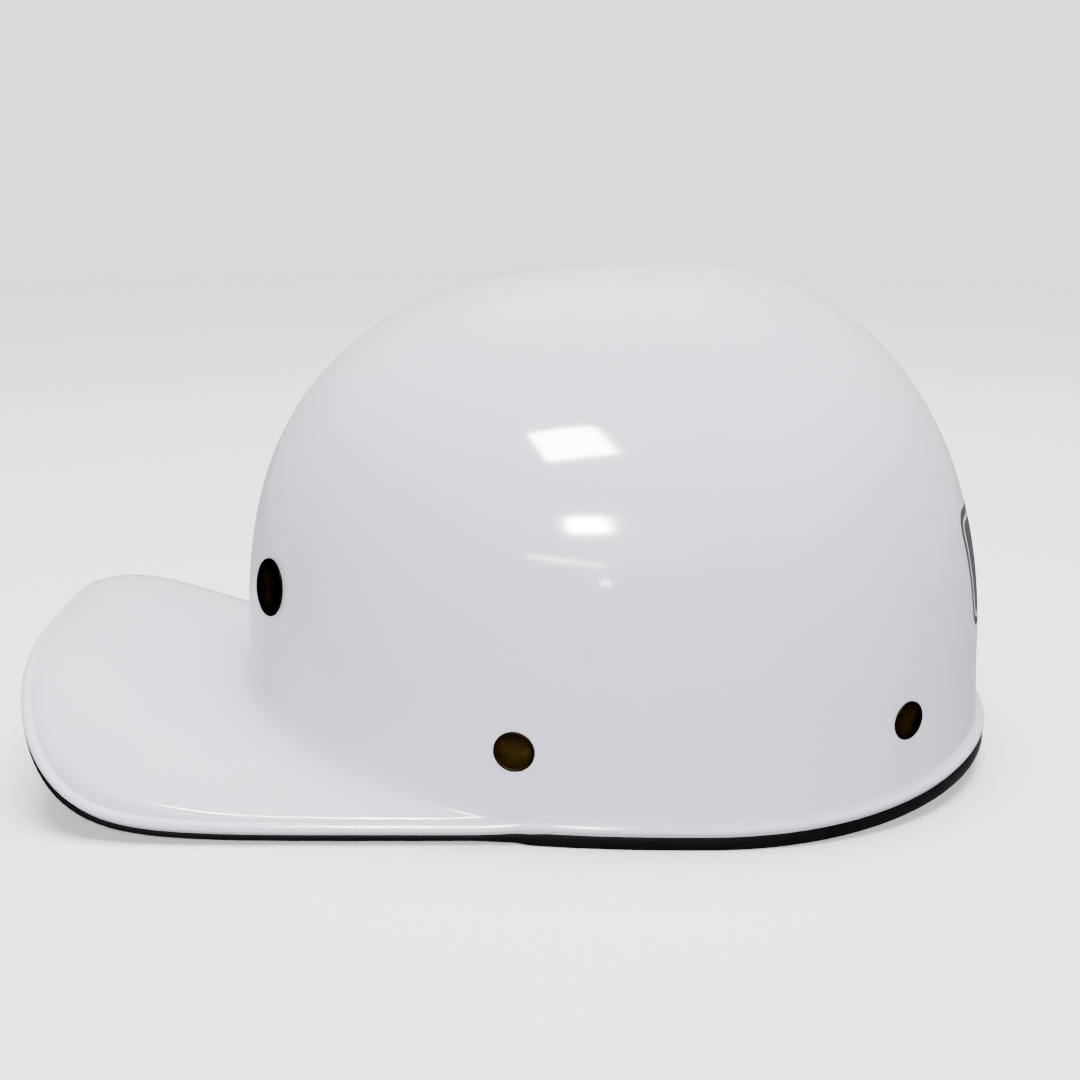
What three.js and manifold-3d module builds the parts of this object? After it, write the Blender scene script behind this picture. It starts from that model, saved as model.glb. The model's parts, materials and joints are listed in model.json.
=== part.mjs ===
// Baseball-cap style hard hat: a one-piece moulded shell with an arched brim, a rolled rim in a
// rubber edge trim, a riveted six-point suspension, a swinging nape band with a ratchet, and a
// chin strap with a side-release buckle.
// Millimetres, Z up. The brim points along -Y, the wearer's left is +X, the hat stands on z = 0.
// The pieces are drawn about the middle of the dome, then moved to the middle of the whole length.
import * as THREE from "three";
import { mergeVertices } from "three/addons/utils/BufferGeometryUtils.js";
import Module from "manifold-3d";

const wasm = await Module();
wasm.setup();

// ---------------------------------------------------------------- driving dimensions

const DEG = Math.PI / 180;
const GAP = 0.3; // clearance between pieces that touch
const TO_MIDDLE = 33.9; // from the middle of the dome's length to the middle of the hat's

// Dome: an egg-shaped plan at belt height, drawn up to the crown along rounded meridians.
const DOME = {
  halfLength: 131,
  halfWidth: 105,
  widestY: 25,
  crownY: 22,
  height: 172,
  beltZ: 36,
  thickness: 3,
};
const PLAN_POWER = { front: 2.37, rear: 2.13 };
const MERIDIAN_POWER = { front: 2.66, side: 2.0, rear: 2.2 };
const FLARE = { front: 0.035, side: 0.007, rear: 0.039 };

// Brim: an arched sheet whose crest rises ahead of the dome and droops at the tip.
const BRIM = {
  rootPhi: 72 * DEG,
  tipY: -203.2,
  widthPower: 3.226,
  lengthPower: 9.8,
  rootLift: 18.5,
  rise: 25.8,
  riseStart: 40,
  riseEnd: 60.8,
  riseShape: 1.44,
  droop: 2.8,
  archHalfWidth: 106,
  archSoftness: 15,
  archPower: { root: 3.6, tip: 2.59 },
  edgeEase: 4,
  fillet: 8,
};

// Rim: an outward bead, a short lip under it, and the trim that wraps the lip.
const RIM = {
  bead: 1.8,
  beadTop: 1.4,
  beadBottom: 2.8,
  lipOuter: 1.6,
  lipInner: 4.6,
  lipSide: 3.4,
  lipBrim: 1.0,
  shoulder: 3.2,
  rearRise: 8,
  rearPower: 2.13,
};
const TRIM = { outer: 0.2, outerLeg: 1.1, innerLeg: 5.2, inner: 6.4, web: 0.7, seat: 0.6, leg: 0.4 };
const RIM_ABOVE_REST = RIM.shoulder + TRIM.web + TRIM.seat;
const UNDERSIDE = 3.4; // brim thickness, measured straight down

const RIVETS = [
  { place: "front", phi: 25.6 * DEG, z: 69.7, radius: 9.8 },
  { place: "side", phi: 71.5 * DEG, z: 31, radius: 6.7 },
  { place: "rear", phi: 128 * DEG, z: 35, radius: 6.5 },
];
const RIVET = { shank: 2.4, hole: 2.8, seat: 0.55, rimHeight: 0.85, capHeight: 1.4, tail: 3.6 };
const WASHER = { radius: 5.5, thickness: 1, from: 7 };
const HANGER = { from: 4.4, thickness: 2, halfWidth: 8, clipHeight: 8, clipGap: 1.2, clipReach: 4 };
const HANGER_SPAN = { front: [51, 88], side: [22, 68], rear: [25, 53] };

const STRAP = { width: 16, thickness: 1.2, depth: 7.6, tail: 10, power: 2.1, crownY: -10, crownZ: 134 };
const STRAP_STACK = 2; // height from one crown strap to the next where they cross
const PAD = { radius: 30, bottom: 124.5, top: 129.5 };

const BAND = { centreY: 4, halfWidth: 80, halfLength: 100, thickness: 1.6, bottom: 22, top: 52 };
const BAND_STEP = 7 * DEG;
const BAND_STEPS = 15;
const SWEAT = { steps: 12, thickness: 4, bottom: 20, top: 50 };

// Nape band: two arms from the temple pivots into the ratchet at the back.
const PIVOT = { y: 12.7, z: 37, pin: 3, hole: 3.4, head: 5.5 };
const ARM = { x: 83.1, thickness: 2, halfHeight: 10, boss: 10.5, backY: 104, straightX: 30 };
const RACK = { endX: 22, height: 4.75, thickness: 1.6, toothWidth: 1.1, toothDepth: 2 };
const PINION = { pitch: 4, teeth: 8, outer: 4.9, root: 2.7, toothWidth: 1.1 };
const HOUSING = { halfWidth: 32, halfHeight: 15.5, corner: 12, front: 99.5, back: 106.2, wall: 3 };
const COVER = { from: 106.5, to: 109, bore: 6.3 };
const KNOB = { from: 109.4, height: 6, bevel: 1, radius: 13.2, lobes: 14, lobe: 0.9, bore: 3.5 };
const NAPE_PAD = { halfWidth: 29, halfHeight: 13, corner: 10, from: 93.5, to: 98.9 };

// Chin strap: it lies rearward round the inside of the rim, and swings on studs in the side hangers.
const CHIN = { y: -34, z: 12, width: 15, thickness: 1.4, stud: 2.2, hole: 2.6 };
const LUG = { from: 91.6, to: 93.6, bottom: 5.5, top: 23.5, front: -42, rear: -26 };
const LINK = { from: 89.3, thickness: 2, bar: 17, halfHeight: 10.5, eye: 7 };
const BUCKLE = { x: 93, halfThickness: 3.2, halfWidth: 9.6, front: 2, mouth: 24, back: 42 };
const CHIN_ROUTE = { inset: 9.4, rearDrop: 3.6, turns: [112, 128, 144, 162, 180] };

// Mesh resolution.
const BRIM_STEPS = 16;
const RIM_STEPS = 30;
const DOME_ROWS = [0.93, 0.85, 0.77, 0.68, 0.59, 0.5, 0.41, 0.32, 0.22, 0.12, 0.02];
const BRIM_ROWS = [0.35, 0.6, 0.82, 1];

const FINISH = {
  shell: { color: 0xe9e7ee, roughness: 0.12, metalness: 0 },
  trim: { color: 0x141416, roughness: 0.55, metalness: 0 },
  brass: { color: 0x6b4f22, roughness: 0.35, metalness: 1 },
  steel: { color: 0xa9abad, roughness: 0.4, metalness: 1 },
  plastic: { color: 0x2a2b2e, roughness: 0.5, metalness: 0 },
  webbing: { color: 0x222327, roughness: 0.85, metalness: 0 },
  foam: { color: 0x2e2f33, roughness: 0.9, metalness: 0 },
};

// ---------------------------------------------------------------- small helpers

const clamp01 = (v) => Math.min(1, Math.max(0, v));
const ease = (v) => clamp01(v) ** 2 * (3 - 2 * clamp01(v));
const power = (v, p) => Math.sign(v) * Math.abs(v) ** p;
const vec = (x, y, z) => new THREE.Vector3(x, y, z);
const mirrored = (p) => vec(-p.x, p.y, p.z);

/** Two triangles of a quad a-b-c-d, split along a-c, or along b-d if it is flipped. */
const quad = (a, b, c, d, flipped) => (flipped ? [a, b, d, d, b, c] : [a, b, c, a, c, d]);

/** A closed body from rings of equal length, joined end to end and capped with a fan. */
function loft(rings) {
  const count = rings[0].length;
  const points = rings.flat();
  const faces = [];
  for (let i = 0; i + 1 < rings.length; i++) {
    for (let j = 0; j < count; j++) {
      const a = i * count + j;
      const b = i * count + ((j + 1) % count);
      faces.push(...quad(a, b, b + count, a + count));
    }
  }
  const last = (rings.length - 1) * count;
  for (let j = 1; j + 1 < count; j++) {
    faces.push(0, j + 1, j, last, last + j, last + j + 1);
  }
  return body(points, faces);
}

/** A geometry from points and triangles, turned the right way out. */
function body(points, faces) {
  const geometry = new THREE.BufferGeometry().setFromPoints(points);
  const turned = signedVolume(points, faces) < 0;
  geometry.setIndex(turned ? faces.toReversed() : faces);
  return geometry;
}

function signedVolume(points, faces) {
  let sum = 0;
  for (let i = 0; i < faces.length; i += 3) {
    const [a, b, c] = [points[faces[i]], points[faces[i + 1]], points[faces[i + 2]]];
    sum += a.dot(b.clone().cross(c));
  }
  return sum / 6;
}

/** The manifold-3d solid of a closed geometry. */
function toSolid(geometry) {
  const bare = geometry.clone();
  bare.deleteAttribute("normal");
  bare.deleteAttribute("uv");
  const merged = mergeVertices(bare, 1e-4);
  const vertProperties = new Float32Array(merged.attributes.position.array);
  const triVerts = new Uint32Array(merged.index.array);
  return new wasm.Manifold(new wasm.Mesh({ numProp: 3, vertProperties, triVerts }));
}

function fromSolid(solid) {
  const mesh = solid.getMesh();
  const geometry = new THREE.BufferGeometry();
  geometry.setAttribute("position", new THREE.BufferAttribute(mesh.vertProperties, 3));
  geometry.setIndex(new THREE.BufferAttribute(mesh.triVerts, 1));
  return geometry;
}

const cut = (geometry, ...tools) =>
  fromSolid(tools.reduce((solid, tool) => solid.subtract(toSolid(tool)), toSolid(geometry)));
const join = (geometry, ...others) =>
  fromSolid(others.reduce((solid, other) => solid.add(toSolid(other)), toSolid(geometry)));

/** A cylinder centred at a point, with its axis along a direction. */
function rod(radius, length, centre, axis, sides = 16) {
  const geometry = new THREE.CylinderGeometry(radius, radius, length, sides);
  return aim(geometry, centre, axis);
}

/** Turns a geometry's Y axis to a direction, then moves it to a point. */
function aim(geometry, origin, axis) {
  const turn = new THREE.Quaternion().setFromUnitVectors(vec(0, 1, 0), axis);
  geometry.applyQuaternion(turn);
  geometry.translate(origin.x, origin.y, origin.z);
  return geometry;
}

/** A box from its low corner to its high corner. */
function block(low, high) {
  const geometry = new THREE.BoxGeometry(high[0] - low[0], high[1] - low[1], high[2] - low[2]);
  const middle = low.map((v, i) => (v + high[i]) / 2);
  return geometry.translate(...middle);
}

/** A lathe body from [radius, height] pairs that start and end on the axis. */
function turned(profile, segments = 12) {
  return new THREE.LatheGeometry(profile.map(([r, h]) => new THREE.Vector2(r, h)), segments);
}

/** Mirrors a geometry across x = 0. */
function acrossHat(geometry) {
  const copy = geometry.clone().scale(-1, 1, 1);
  copy.setIndex(Array.from(copy.index.array).toReversed());
  return copy;
}

/** A plane shape in X and Z, made solid between two Y values. */
function slab(shape, fromY, toY, curveSegments = 6) {
  const geometry = new THREE.ExtrudeGeometry(shape, {
    depth: toY - fromY,
    bevelEnabled: false,
    curveSegments,
  });
  geometry.rotateX(Math.PI / 2);
  return geometry.translate(0, toY, 0);
}

function roundedRectangle(halfWidth, halfHeight, corner, centre = [0, 0]) {
  const [x, y] = centre;
  const shape = new THREE.Shape();
  shape.absarc(x + halfWidth - corner, y + halfHeight - corner, corner, 0, Math.PI / 2);
  shape.absarc(x - halfWidth + corner, y + halfHeight - corner, corner, Math.PI / 2, Math.PI);
  shape.absarc(x - halfWidth + corner, y - halfHeight + corner, corner, Math.PI, 1.5 * Math.PI);
  shape.absarc(x + halfWidth - corner, y - halfHeight + corner, corner, 1.5 * Math.PI, 2 * Math.PI);
  return shape;
}

// ---------------------------------------------------------------- dome and brim surfaces

/** Weights the front, side and rear values of a dimension by plan angle (0 is the front). */
function byAngle(values, phi) {
  const c = Math.cos(phi);
  const front = Math.max(c, 0) ** 2;
  const rear = Math.max(-c, 0) ** 2;
  return values.front * front + values.rear * rear + values.side * (1 - front - rear);
}

/** A point of the dome's outer face: level 1 is the crown, 0 the belt, -1 the rest plane. */
function domePoint(phi, level) {
  const c = Math.cos(phi);
  const p = 2 / (c > 0 ? PLAN_POWER.front : PLAN_POWER.rear);
  const reach = c > 0 ? DOME.widestY + DOME.halfLength : DOME.halfLength - DOME.widestY;
  const x = DOME.halfWidth * power(Math.sin(phi), p);
  const y = DOME.widestY - reach * power(c, p);
  const q = 2 / byAngle(MERIDIAN_POWER, phi);
  const turn = (clamp01(level) * Math.PI) / 2;
  const flare = level < 0 ? 1 + byAngle(FLARE, phi) * level * level : 1;
  const spread = Math.max(Math.cos(turn), 0) ** q * flare;
  const above = (DOME.height - DOME.beltZ) * Math.sin(turn) ** q;
  const z = level < 0 ? DOME.beltZ * (1 + level) : DOME.beltZ + above;
  return vec(x * spread, DOME.crownY + (y - DOME.crownY) * spread, z);
}

function domeLevel(phi, z) {
  if (z < DOME.beltZ) return z / DOME.beltZ - 1;
  const rise = clamp01((z - DOME.beltZ) / (DOME.height - DOME.beltZ));
  return (Math.asin(rise ** (byAngle(MERIDIAN_POWER, phi) / 2)) * 2) / Math.PI;
}

/** The dome's outward normal, from small steps along its two directions. */
function domeNormal(phi, level) {
  const step = 1e-3;
  const around = domePoint(phi + step, level).sub(domePoint(phi - step, level));
  const up = domePoint(phi, Math.min(level + step, 0.999)).sub(domePoint(phi, level - step));
  return around.cross(up).normalize();
}

const wallPoint = (phi, z) => domePoint(phi, domeLevel(phi, z));

function innerWallPoint(phi, z) {
  const level = domeLevel(phi, z);
  return domePoint(phi, level).addScaledVector(domeNormal(phi, level), -DOME.thickness);
}

/** Height of the arched brim above its side edges. */
function brimRise(x, y) {
  const ahead = -DOME.halfLength - y;
  const length = -DOME.halfLength - BRIM.tipY;
  const along = clamp01((ahead + BRIM.riseStart) / (BRIM.riseStart + BRIM.riseEnd));
  const lift = (1 - Math.cos(Math.PI * along ** BRIM.riseShape)) / 2;
  const fall = Math.max(0, (ahead - BRIM.riseEnd) / (length - BRIM.riseEnd)) ** 2;
  const crest = BRIM.rootLift + BRIM.rise * lift - BRIM.droop * fall;
  const { root, tip } = BRIM.archPower;
  const soft = (v) => Math.hypot(v, BRIM.archSoftness) - BRIM.archSoftness;
  const across = soft(x) / soft(BRIM.archHalfWidth);
  const arch = crest * (1 - across ** (root + (tip - root) * ease(ahead / length)));
  return Math.max(0, arch + Math.hypot(arch, BRIM.edgeEase) - BRIM.edgeEase) / 2;
}

/** 0 on the brim's edge, 1 on the rim behind it. */
const onRim = (phi) => ease((Math.abs(phi) - BRIM.rootPhi + 4.5 * DEG) / (8.5 * DEG));
const lipHeight = (phi) => RIM.lipBrim + (RIM.lipSide - RIM.lipBrim) * onRim(phi);
const restRise = (y) =>
  RIM.rearRise * Math.max(0, (y - DOME.widestY) / (DOME.halfLength - DOME.widestY)) ** RIM.rearPower;

/** Plan point of the rim bead beside the dome, behind the brim. */
function rimEdge(phi) {
  const wall = wallPoint(phi, RIM_ABOVE_REST + RIM.lipSide);
  const normal = domeNormal(phi, -0.8).setZ(0).normalize();
  return wall.addScaledVector(normal, RIM.bead);
}

/** Plan points of the brim's edge, evenly spaced from the right root round to the left one. */
function brimEdges() {
  const root = rimEdge(BRIM.rootPhi);
  const fine = [];
  const steps = 300;
  for (let i = -steps; i <= steps; i++) {
    const turn = (Math.sign(i) * (1 - (1 - (i / steps) ** 2) ** 3) * Math.PI) / 2;
    const x = root.x * power(Math.sin(turn), 2 / BRIM.widthPower);
    const y = root.y + (BRIM.tipY - root.y) * Math.max(Math.cos(turn), 0) ** (2 / BRIM.lengthPower);
    fine.push(vec(x, y, 0));
  }
  const curve = new THREE.CatmullRomCurve3(fine);
  curve.arcLengthDivisions = 4 * steps;
  return curve.getSpacedPoints(2 * BRIM_STEPS);
}

/** One column of the shell: its plan angle, bead point, outward direction and heights. */
function makeColumns() {
  const columns = brimEdges().map((edge, i) => {
    const phi = BRIM.rootPhi * (i / BRIM_STEPS - 1);
    const rest = brimRise(edge.x, edge.y) * (1 - onRim(phi));
    return { phi, edge, rest };
  });
  for (let i = 1; i < RIM_STEPS; i++) {
    const phi = BRIM.rootPhi + ((2 * Math.PI - 2 * BRIM.rootPhi) * i) / RIM_STEPS;
    const edge = rimEdge(phi > Math.PI ? phi - 2 * Math.PI : phi);
    columns.push({ phi: phi > Math.PI ? phi - 2 * Math.PI : phi, edge, rest: restRise(edge.y) });
  }
  columns.forEach((column, i) => {
    const after = columns[(i + 1) % columns.length].edge;
    const before = columns.at(i - 1).edge;
    column.out = vec(after.y - before.y, before.x - after.x, 0).normalize();
    column.lip = lipHeight(column.phi);
    column.top = column.rest + RIM_ABOVE_REST + column.lip;
  });
  return columns;
}

/** The outer face where the brim or the bead leaves the dome. */
function rootPoint(column) {
  const { phi, lip } = column;
  if (onRim(phi) === 1) return wallPoint(phi, column.top + 1.5);
  let z = 40;
  for (let i = 0; i < 12; i++) {
    const wall = wallPoint(phi, z);
    z = brimRise(wall.x, wall.y) + RIM_ABOVE_REST + lip + 1.5 * onRim(phi);
  }
  return wallPoint(phi, z);
}

/** A point at a distance in from the bead, at a height. */
const inFrom = (column, distance, z) =>
  column.edge.clone().addScaledVector(column.out, -distance).setZ(z);

/** True where the span that follows a column is on the wearer's right. */
const onRight = (column) => column.phi < 0;

/** The closed profile of one column, from outside the crown round the rim to inside it. */
function shellColumn(column) {
  const { phi, lip } = column;
  const top = column.top;
  const root = rootPoint(column);
  const edge = inFrom(column, RIM.beadTop, top);
  const width = Math.hypot(edge.x - root.x, edge.y - root.y);
  const fillet = Math.min(BRIM.fillet, 0.3 * width);
  const brimTop = (share) => {
    const p = root.clone().lerp(edge, share);
    const arch = brimRise(p.x, p.y) + RIM_ABOVE_REST + lip;
    const sheet = root.z + (edge.z - root.z) * share;
    return p.setZ(arch + (sheet - arch) * onRim(phi));
  };
  const upper = wallPoint(phi, root.z + fillet);
  const lower = brimTop(fillet / width);
  const middle = upper.clone().add(lower).multiplyScalar(0.25).addScaledVector(root, 0.5);
  const levels = DOME_ROWS.map((v) => v + (1 - v) * clamp01(domeLevel(phi, upper.z)));
  const outside = levels.map((level) => domePoint(phi, level));
  const underside = (share) => {
    const inner = innerWallPoint(phi, root.z - UNDERSIDE);
    const end = inFrom(column, RIM.lipInner, top - UNDERSIDE);
    const p = inner.clone().lerp(end, share);
    const arch = brimRise(p.x, p.y) + RIM_ABOVE_REST + lip - UNDERSIDE;
    return p.setZ(share < 1 ? arch + (p.z - arch) * onRim(phi) : p.z);
  };
  const lipFoot = top - RIM.shoulder - lip;
  const inside = levels.map((level) =>
    domePoint(phi, level).addScaledVector(domeNormal(phi, level), -DOME.thickness),
  );
  return [
    ...outside,
    upper,
    middle,
    lower,
    ...BRIM_ROWS.map(brimTop),
    inFrom(column, 0, top - 1.3),
    inFrom(column, 0.3, top - RIM.beadBottom),
    inFrom(column, RIM.lipOuter, top - RIM.shoulder),
    inFrom(column, RIM.lipOuter, lipFoot),
    inFrom(column, RIM.lipInner, lipFoot),
    ...[...BRIM_ROWS].reverse().map(underside),
    innerWallPoint(phi, root.z - UNDERSIDE),
    ...inside.reverse(),
  ];
}

/** The shell: all the columns, closed at the crown outside and inside. */
function shellBlank(columns) {
  const profiles = columns.map(shellColumn);
  const rows = profiles[0].length;
  const count = profiles.length;
  const points = [];
  for (let row = 0; row < rows; row++) {
    profiles.forEach((profile) => points.push(profile[row]));
  }
  const outerCrown = points.length;
  points.push(vec(0, DOME.crownY, DOME.height));
  points.push(vec(0, DOME.crownY, DOME.height - DOME.thickness));
  const faces = [];
  for (let i = 0; i < count; i++) {
    const j = (i + 1) % count;
    faces.push(outerCrown, i, j);
    for (let row = 0; row + 1 < rows; row++) {
      const a = row * count;
      const b = a + count;
      faces.push(...quad(a + i, b + i, b + j, a + j, onRight(columns[i])));
    }
    const last = (rows - 1) * count;
    faces.push(last + i, outerCrown + 1, last + j);
  }
  return body(points, faces);
}

/** The rubber channel that wraps the lip all the way round. */
function edgeTrim(columns) {
  const rings = columns.map((column) => {
    const foot = column.rest;
    const web = foot + TRIM.web;
    const outerTop = column.top - RIM.shoulder - TRIM.leg;
    const innerTop = column.top - UNDERSIDE - 2 * TRIM.leg;
    return [
      inFrom(column, TRIM.outer, foot),
      inFrom(column, TRIM.outer, outerTop),
      inFrom(column, TRIM.outerLeg, outerTop),
      inFrom(column, TRIM.outerLeg, web),
      inFrom(column, TRIM.innerLeg, web),
      inFrom(column, TRIM.innerLeg, innerTop),
      inFrom(column, TRIM.inner, innerTop),
      inFrom(column, TRIM.inner, foot),
    ];
  });
  const count = rings[0].length;
  const faces = [];
  columns.forEach((column, i) => {
    const here = i * count;
    const next = ((i + 1) % columns.length) * count;
    for (let j = 0; j < count; j++) {
      const k = (j + 1) % count;
      faces.push(...quad(here + j, next + j, next + k, here + k, !onRight(column)));
    }
  });
  return body(rings.flat(), faces);
}

// ---------------------------------------------------------------- rivets and hangers

/** Where a rivet sits: its point on the outer face, outward normal and upward tangent. */
function seat(rivet) {
  const level = domeLevel(rivet.phi, rivet.z);
  const normal = domeNormal(rivet.phi, level);
  const sideways = vec(0, 0, 1).cross(normal).normalize();
  return { point: domePoint(rivet.phi, level), normal, up: normal.clone().cross(sideways) };
}

function rivetBody(rivet) {
  const { point, normal } = seat(rivet);
  const r = rivet.radius;
  const tailTop = -(WASHER.from + WASHER.thickness + GAP);
  const profile = [
    [0, tailTop - 1.4],
    [RIVET.tail, tailTop - 1.1],
    [RIVET.tail, tailTop - 0.3],
    [RIVET.shank, tailTop],
    [RIVET.shank, RIVET.seat],
    [r - 0.4, RIVET.seat],
    [r, RIVET.seat + 0.3],
    [r, RIVET.rimHeight],
    [r - 0.7, RIVET.rimHeight + 0.25],
    [r * 0.55, RIVET.capHeight - 0.1],
    [0, RIVET.capHeight],
  ];
  return aim(turned(profile), point, normal);
}

function washer(rivet) {
  const { point, normal } = seat(rivet);
  const profile = [
    [RIVET.hole, 0],
    [WASHER.radius, 0],
    [WASHER.radius, WASHER.thickness],
    [RIVET.hole, WASHER.thickness],
    [RIVET.hole, 0],
  ];
  const from = point.clone().addScaledVector(normal, -WASHER.from - WASHER.thickness);
  return aim(turned(profile), from, normal);
}

/** How far along a direction, in plan, a point is from the headband's centre line. */
function reachToBand(point, direction) {
  const a = BAND.halfWidth;
  const b = BAND.halfLength;
  const [px, py] = [point.x / a, (point.y - BAND.centreY) / b];
  const [dx, dy] = [direction.x / a, direction.y / b];
  const dd = dx * dx + dy * dy;
  const pd = px * dx + py * dy;
  return (-pd - Math.sqrt(pd * pd - dd * (px * px + py * py - 1))) / dd;
}

/** A strip that follows the inside of the wall above a rivet, at a depth under the outer face. */
function wallStrip(rivet, depth, thickness, width, heights) {
  const rings = heights.map((z) => {
    const level = domeLevel(rivet.phi, z);
    const normal = domeNormal(rivet.phi, level);
    const point = domePoint(rivet.phi, level).addScaledVector(normal, -depth - thickness / 2);
    const wide = vec(0, 0, 1).cross(normal).normalize();
    return ribbonRing(point, wide, normal, width, thickness);
  });
  return loft(rings);
}

/** Heights spread evenly from a low one to a high one. */
const spread = ([low, high], steps) =>
  Array.from({ length: steps + 1 }, (_, i) => low + ((high - low) * i) / steps);

/** A hanger: a plate on the shell, and on the front and side ones an arm that clips the headband. */
function hanger(rivet) {
  const { point, normal } = seat(rivet);
  const width = 2 * HANGER.halfWidth;
  const heights = spread(HANGER_SPAN[rivet.place], 4);
  const plate = wallStrip(rivet, HANGER.from, HANGER.thickness, width, heights);
  const hole = rod(RIVET.hole, 30, point, normal);
  if (rivet.place === "rear") return cut(plate, hole);
  const arm = hangerArm(rivet);
  if (rivet.place === "front") return cut(join(plate, arm), hole);
  return cut(join(plate, arm, chinLug()), hole, rod(CHIN.hole, 20, STUD_CENTRE, vec(1, 0, 0)));
}

/** A level arm from the plate, hooked down over the headband's top edge. */
function hangerArm(rivet) {
  const wall = wallPoint(rivet.phi, BAND.top);
  const inward = domeNormal(rivet.phi, domeLevel(rivet.phi, BAND.top)).setZ(0).negate().normalize();
  const start = HANGER.from + HANGER.thickness / 2;
  const reach = reachToBand(wall, inward);
  const lip = reach - BAND.thickness / 2 - HANGER.clipGap;
  const low = BAND.top + GAP;
  const high = low + HANGER.thickness;
  const shape = new THREE.Shape();
  shape.moveTo(start, low);
  shape.lineTo(lip - HANGER.thickness, low);
  shape.lineTo(lip - HANGER.thickness, low - HANGER.clipHeight);
  shape.lineTo(lip, low - HANGER.clipHeight);
  shape.lineTo(lip, low);
  shape.lineTo(reach + HANGER.clipReach, low);
  shape.lineTo(reach + HANGER.clipReach, high);
  shape.lineTo(start, high);
  shape.closePath();
  const arm = new THREE.ExtrudeGeometry(shape, {
    depth: 2 * HANGER.halfWidth,
    bevelEnabled: false,
  });
  const up = vec(0, 0, 1);
  const frame = new THREE.Matrix4().makeBasis(inward, up, inward.clone().cross(up));
  arm.translate(0, 0, -HANGER.halfWidth).applyMatrix4(frame);
  return arm.translate(wall.x, wall.y, 0);
}

/** The lug under a side hanger that carries the chin strap's stud. */
function chinLug() {
  const lug = block([LUG.from, LUG.front, LUG.bottom], [LUG.to, LUG.rear, LUG.top]);
  const bridge = block([LUG.from, LUG.front + 2, LUG.top - 3], [LUG.to + 2, -28, LUG.top + 1.5]);
  return join(lug, bridge);
}

const STUD_CENTRE = vec(LUG.from, CHIN.y, CHIN.z);

function chinStud() {
  const inner = LINK.from - GAP;
  const outer = LUG.to + GAP;
  const profile = [
    [0, inner - 1.3],
    [3.4, inner - 1.2],
    [4, inner - 0.6],
    [4, inner],
    [CHIN.stud, inner],
    [CHIN.stud, outer],
    [4, outer],
    [4, outer + 1.1],
    [0, outer + 1.1],
  ];
  return aim(turned(profile, 16), vec(0, CHIN.y, CHIN.z), vec(1, 0, 0));
}

// ---------------------------------------------------------------- suspension

/** A crown strap from one hanger, over the crossing, to another hanger. */
function crownStrap(from, to, layer) {
  const crown = vec(0, STRAP.crownY, STRAP.crownZ + layer * STRAP_STACK);
  const heading = to.top.clone().sub(from.top).setZ(0).normalize();
  const rise = strapHalf(from, crown, heading.clone().negate());
  const fall = strapHalf(to, crown, heading).reverse();
  const middle = { point: crown, wide: vec(0, 0, 1).cross(heading) };
  const flipped = fall.map(({ point, wide }) => ({ point, wide: wide.clone().negate() }));
  const centre = [...rise, middle, ...flipped];
  const rings = centre.map(({ point, wide }, i) => {
    const before = centre[Math.max(i - 1, 0)].point;
    const after = centre[Math.min(i + 1, centre.length - 1)].point;
    const along = after.clone().sub(before).normalize();
    return ribbonRing(point, wide, along.cross(wide).normalize(), STRAP.width, STRAP.thickness);
  });
  return loft(rings);
}

/** The centre line of half a crown strap: its tail on the hanger, then a curve up to the crown. */
function strapHalf(foot, crown, outward) {
  const span = Math.hypot(crown.x - foot.top.x, crown.y - foot.top.y);
  const plan = new THREE.CubicBezierCurve3(
    foot.top.clone().setZ(0),
    foot.top.clone().setZ(0).addScaledVector(foot.inward, span / 3),
    crown.clone().setZ(0).addScaledVector(outward, span / 3),
    crown.clone().setZ(0),
  );
  const steps = 8;
  const centre = [{ point: foot.bottom, wide: foot.wide }];
  for (let i = 0; i < steps; i++) {
    const turn = ((i / steps) * Math.PI) / 2;
    const share = 1 - Math.cos(turn) ** (2 / STRAP.power);
    const lift = Math.sin(turn) ** (2 / STRAP.power);
    const point = plan.getPointAt(share).setZ(foot.top.z + (crown.z - foot.top.z) * lift);
    const wide = vec(0, 0, 1).cross(plan.getTangentAt(share)).normalize();
    centre.push({ point, wide });
  }
  return centre;
}

/** The four corners of a flat strap's section. */
function ribbonRing(point, wide, thin, width, thickness) {
  return [
    [1, 1],
    [-1, 1],
    [-1, -1],
    [1, -1],
  ].map(([u, v]) =>
    point
      .clone()
      .addScaledVector(wide, (u * width) / 2)
      .addScaledVector(thin, (v * thickness) / 2),
  );
}

/** Where a crown strap lies on its hanger's plate: the tail's end, its top and its directions. */
function strapFoot(rivet, side) {
  const top = HANGER_SPAN[rivet.place][1];
  const at = (z) => {
    const level = domeLevel(rivet.phi, z);
    const p = domePoint(rivet.phi, level);
    return p.addScaledVector(domeNormal(rivet.phi, level), -STRAP.depth);
  };
  const inward = domeNormal(rivet.phi, domeLevel(rivet.phi, top)).setZ(0).negate().normalize();
  const ends = [at(top - STRAP.tail), at(top), inward];
  const [low, high, toward] = side > 0 ? ends : ends.map(mirrored);
  return { bottom: low, top: high, inward: toward, wide: vec(0, 0, 1).cross(toward) };
}

function crownPad() {
  const profile = [
    [0, PAD.bottom],
    [PAD.radius - 3, PAD.bottom],
    [PAD.radius, PAD.bottom + 2],
    [PAD.radius, PAD.top - 2],
    [PAD.radius - 3, PAD.top],
    [0, PAD.top],
  ];
  return aim(turned(profile, 24), vec(0, 0, 0), vec(0, 1, 0))
    .rotateX(Math.PI / 2)
    .translate(0, STRAP.crownY, 0);
}

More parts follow.
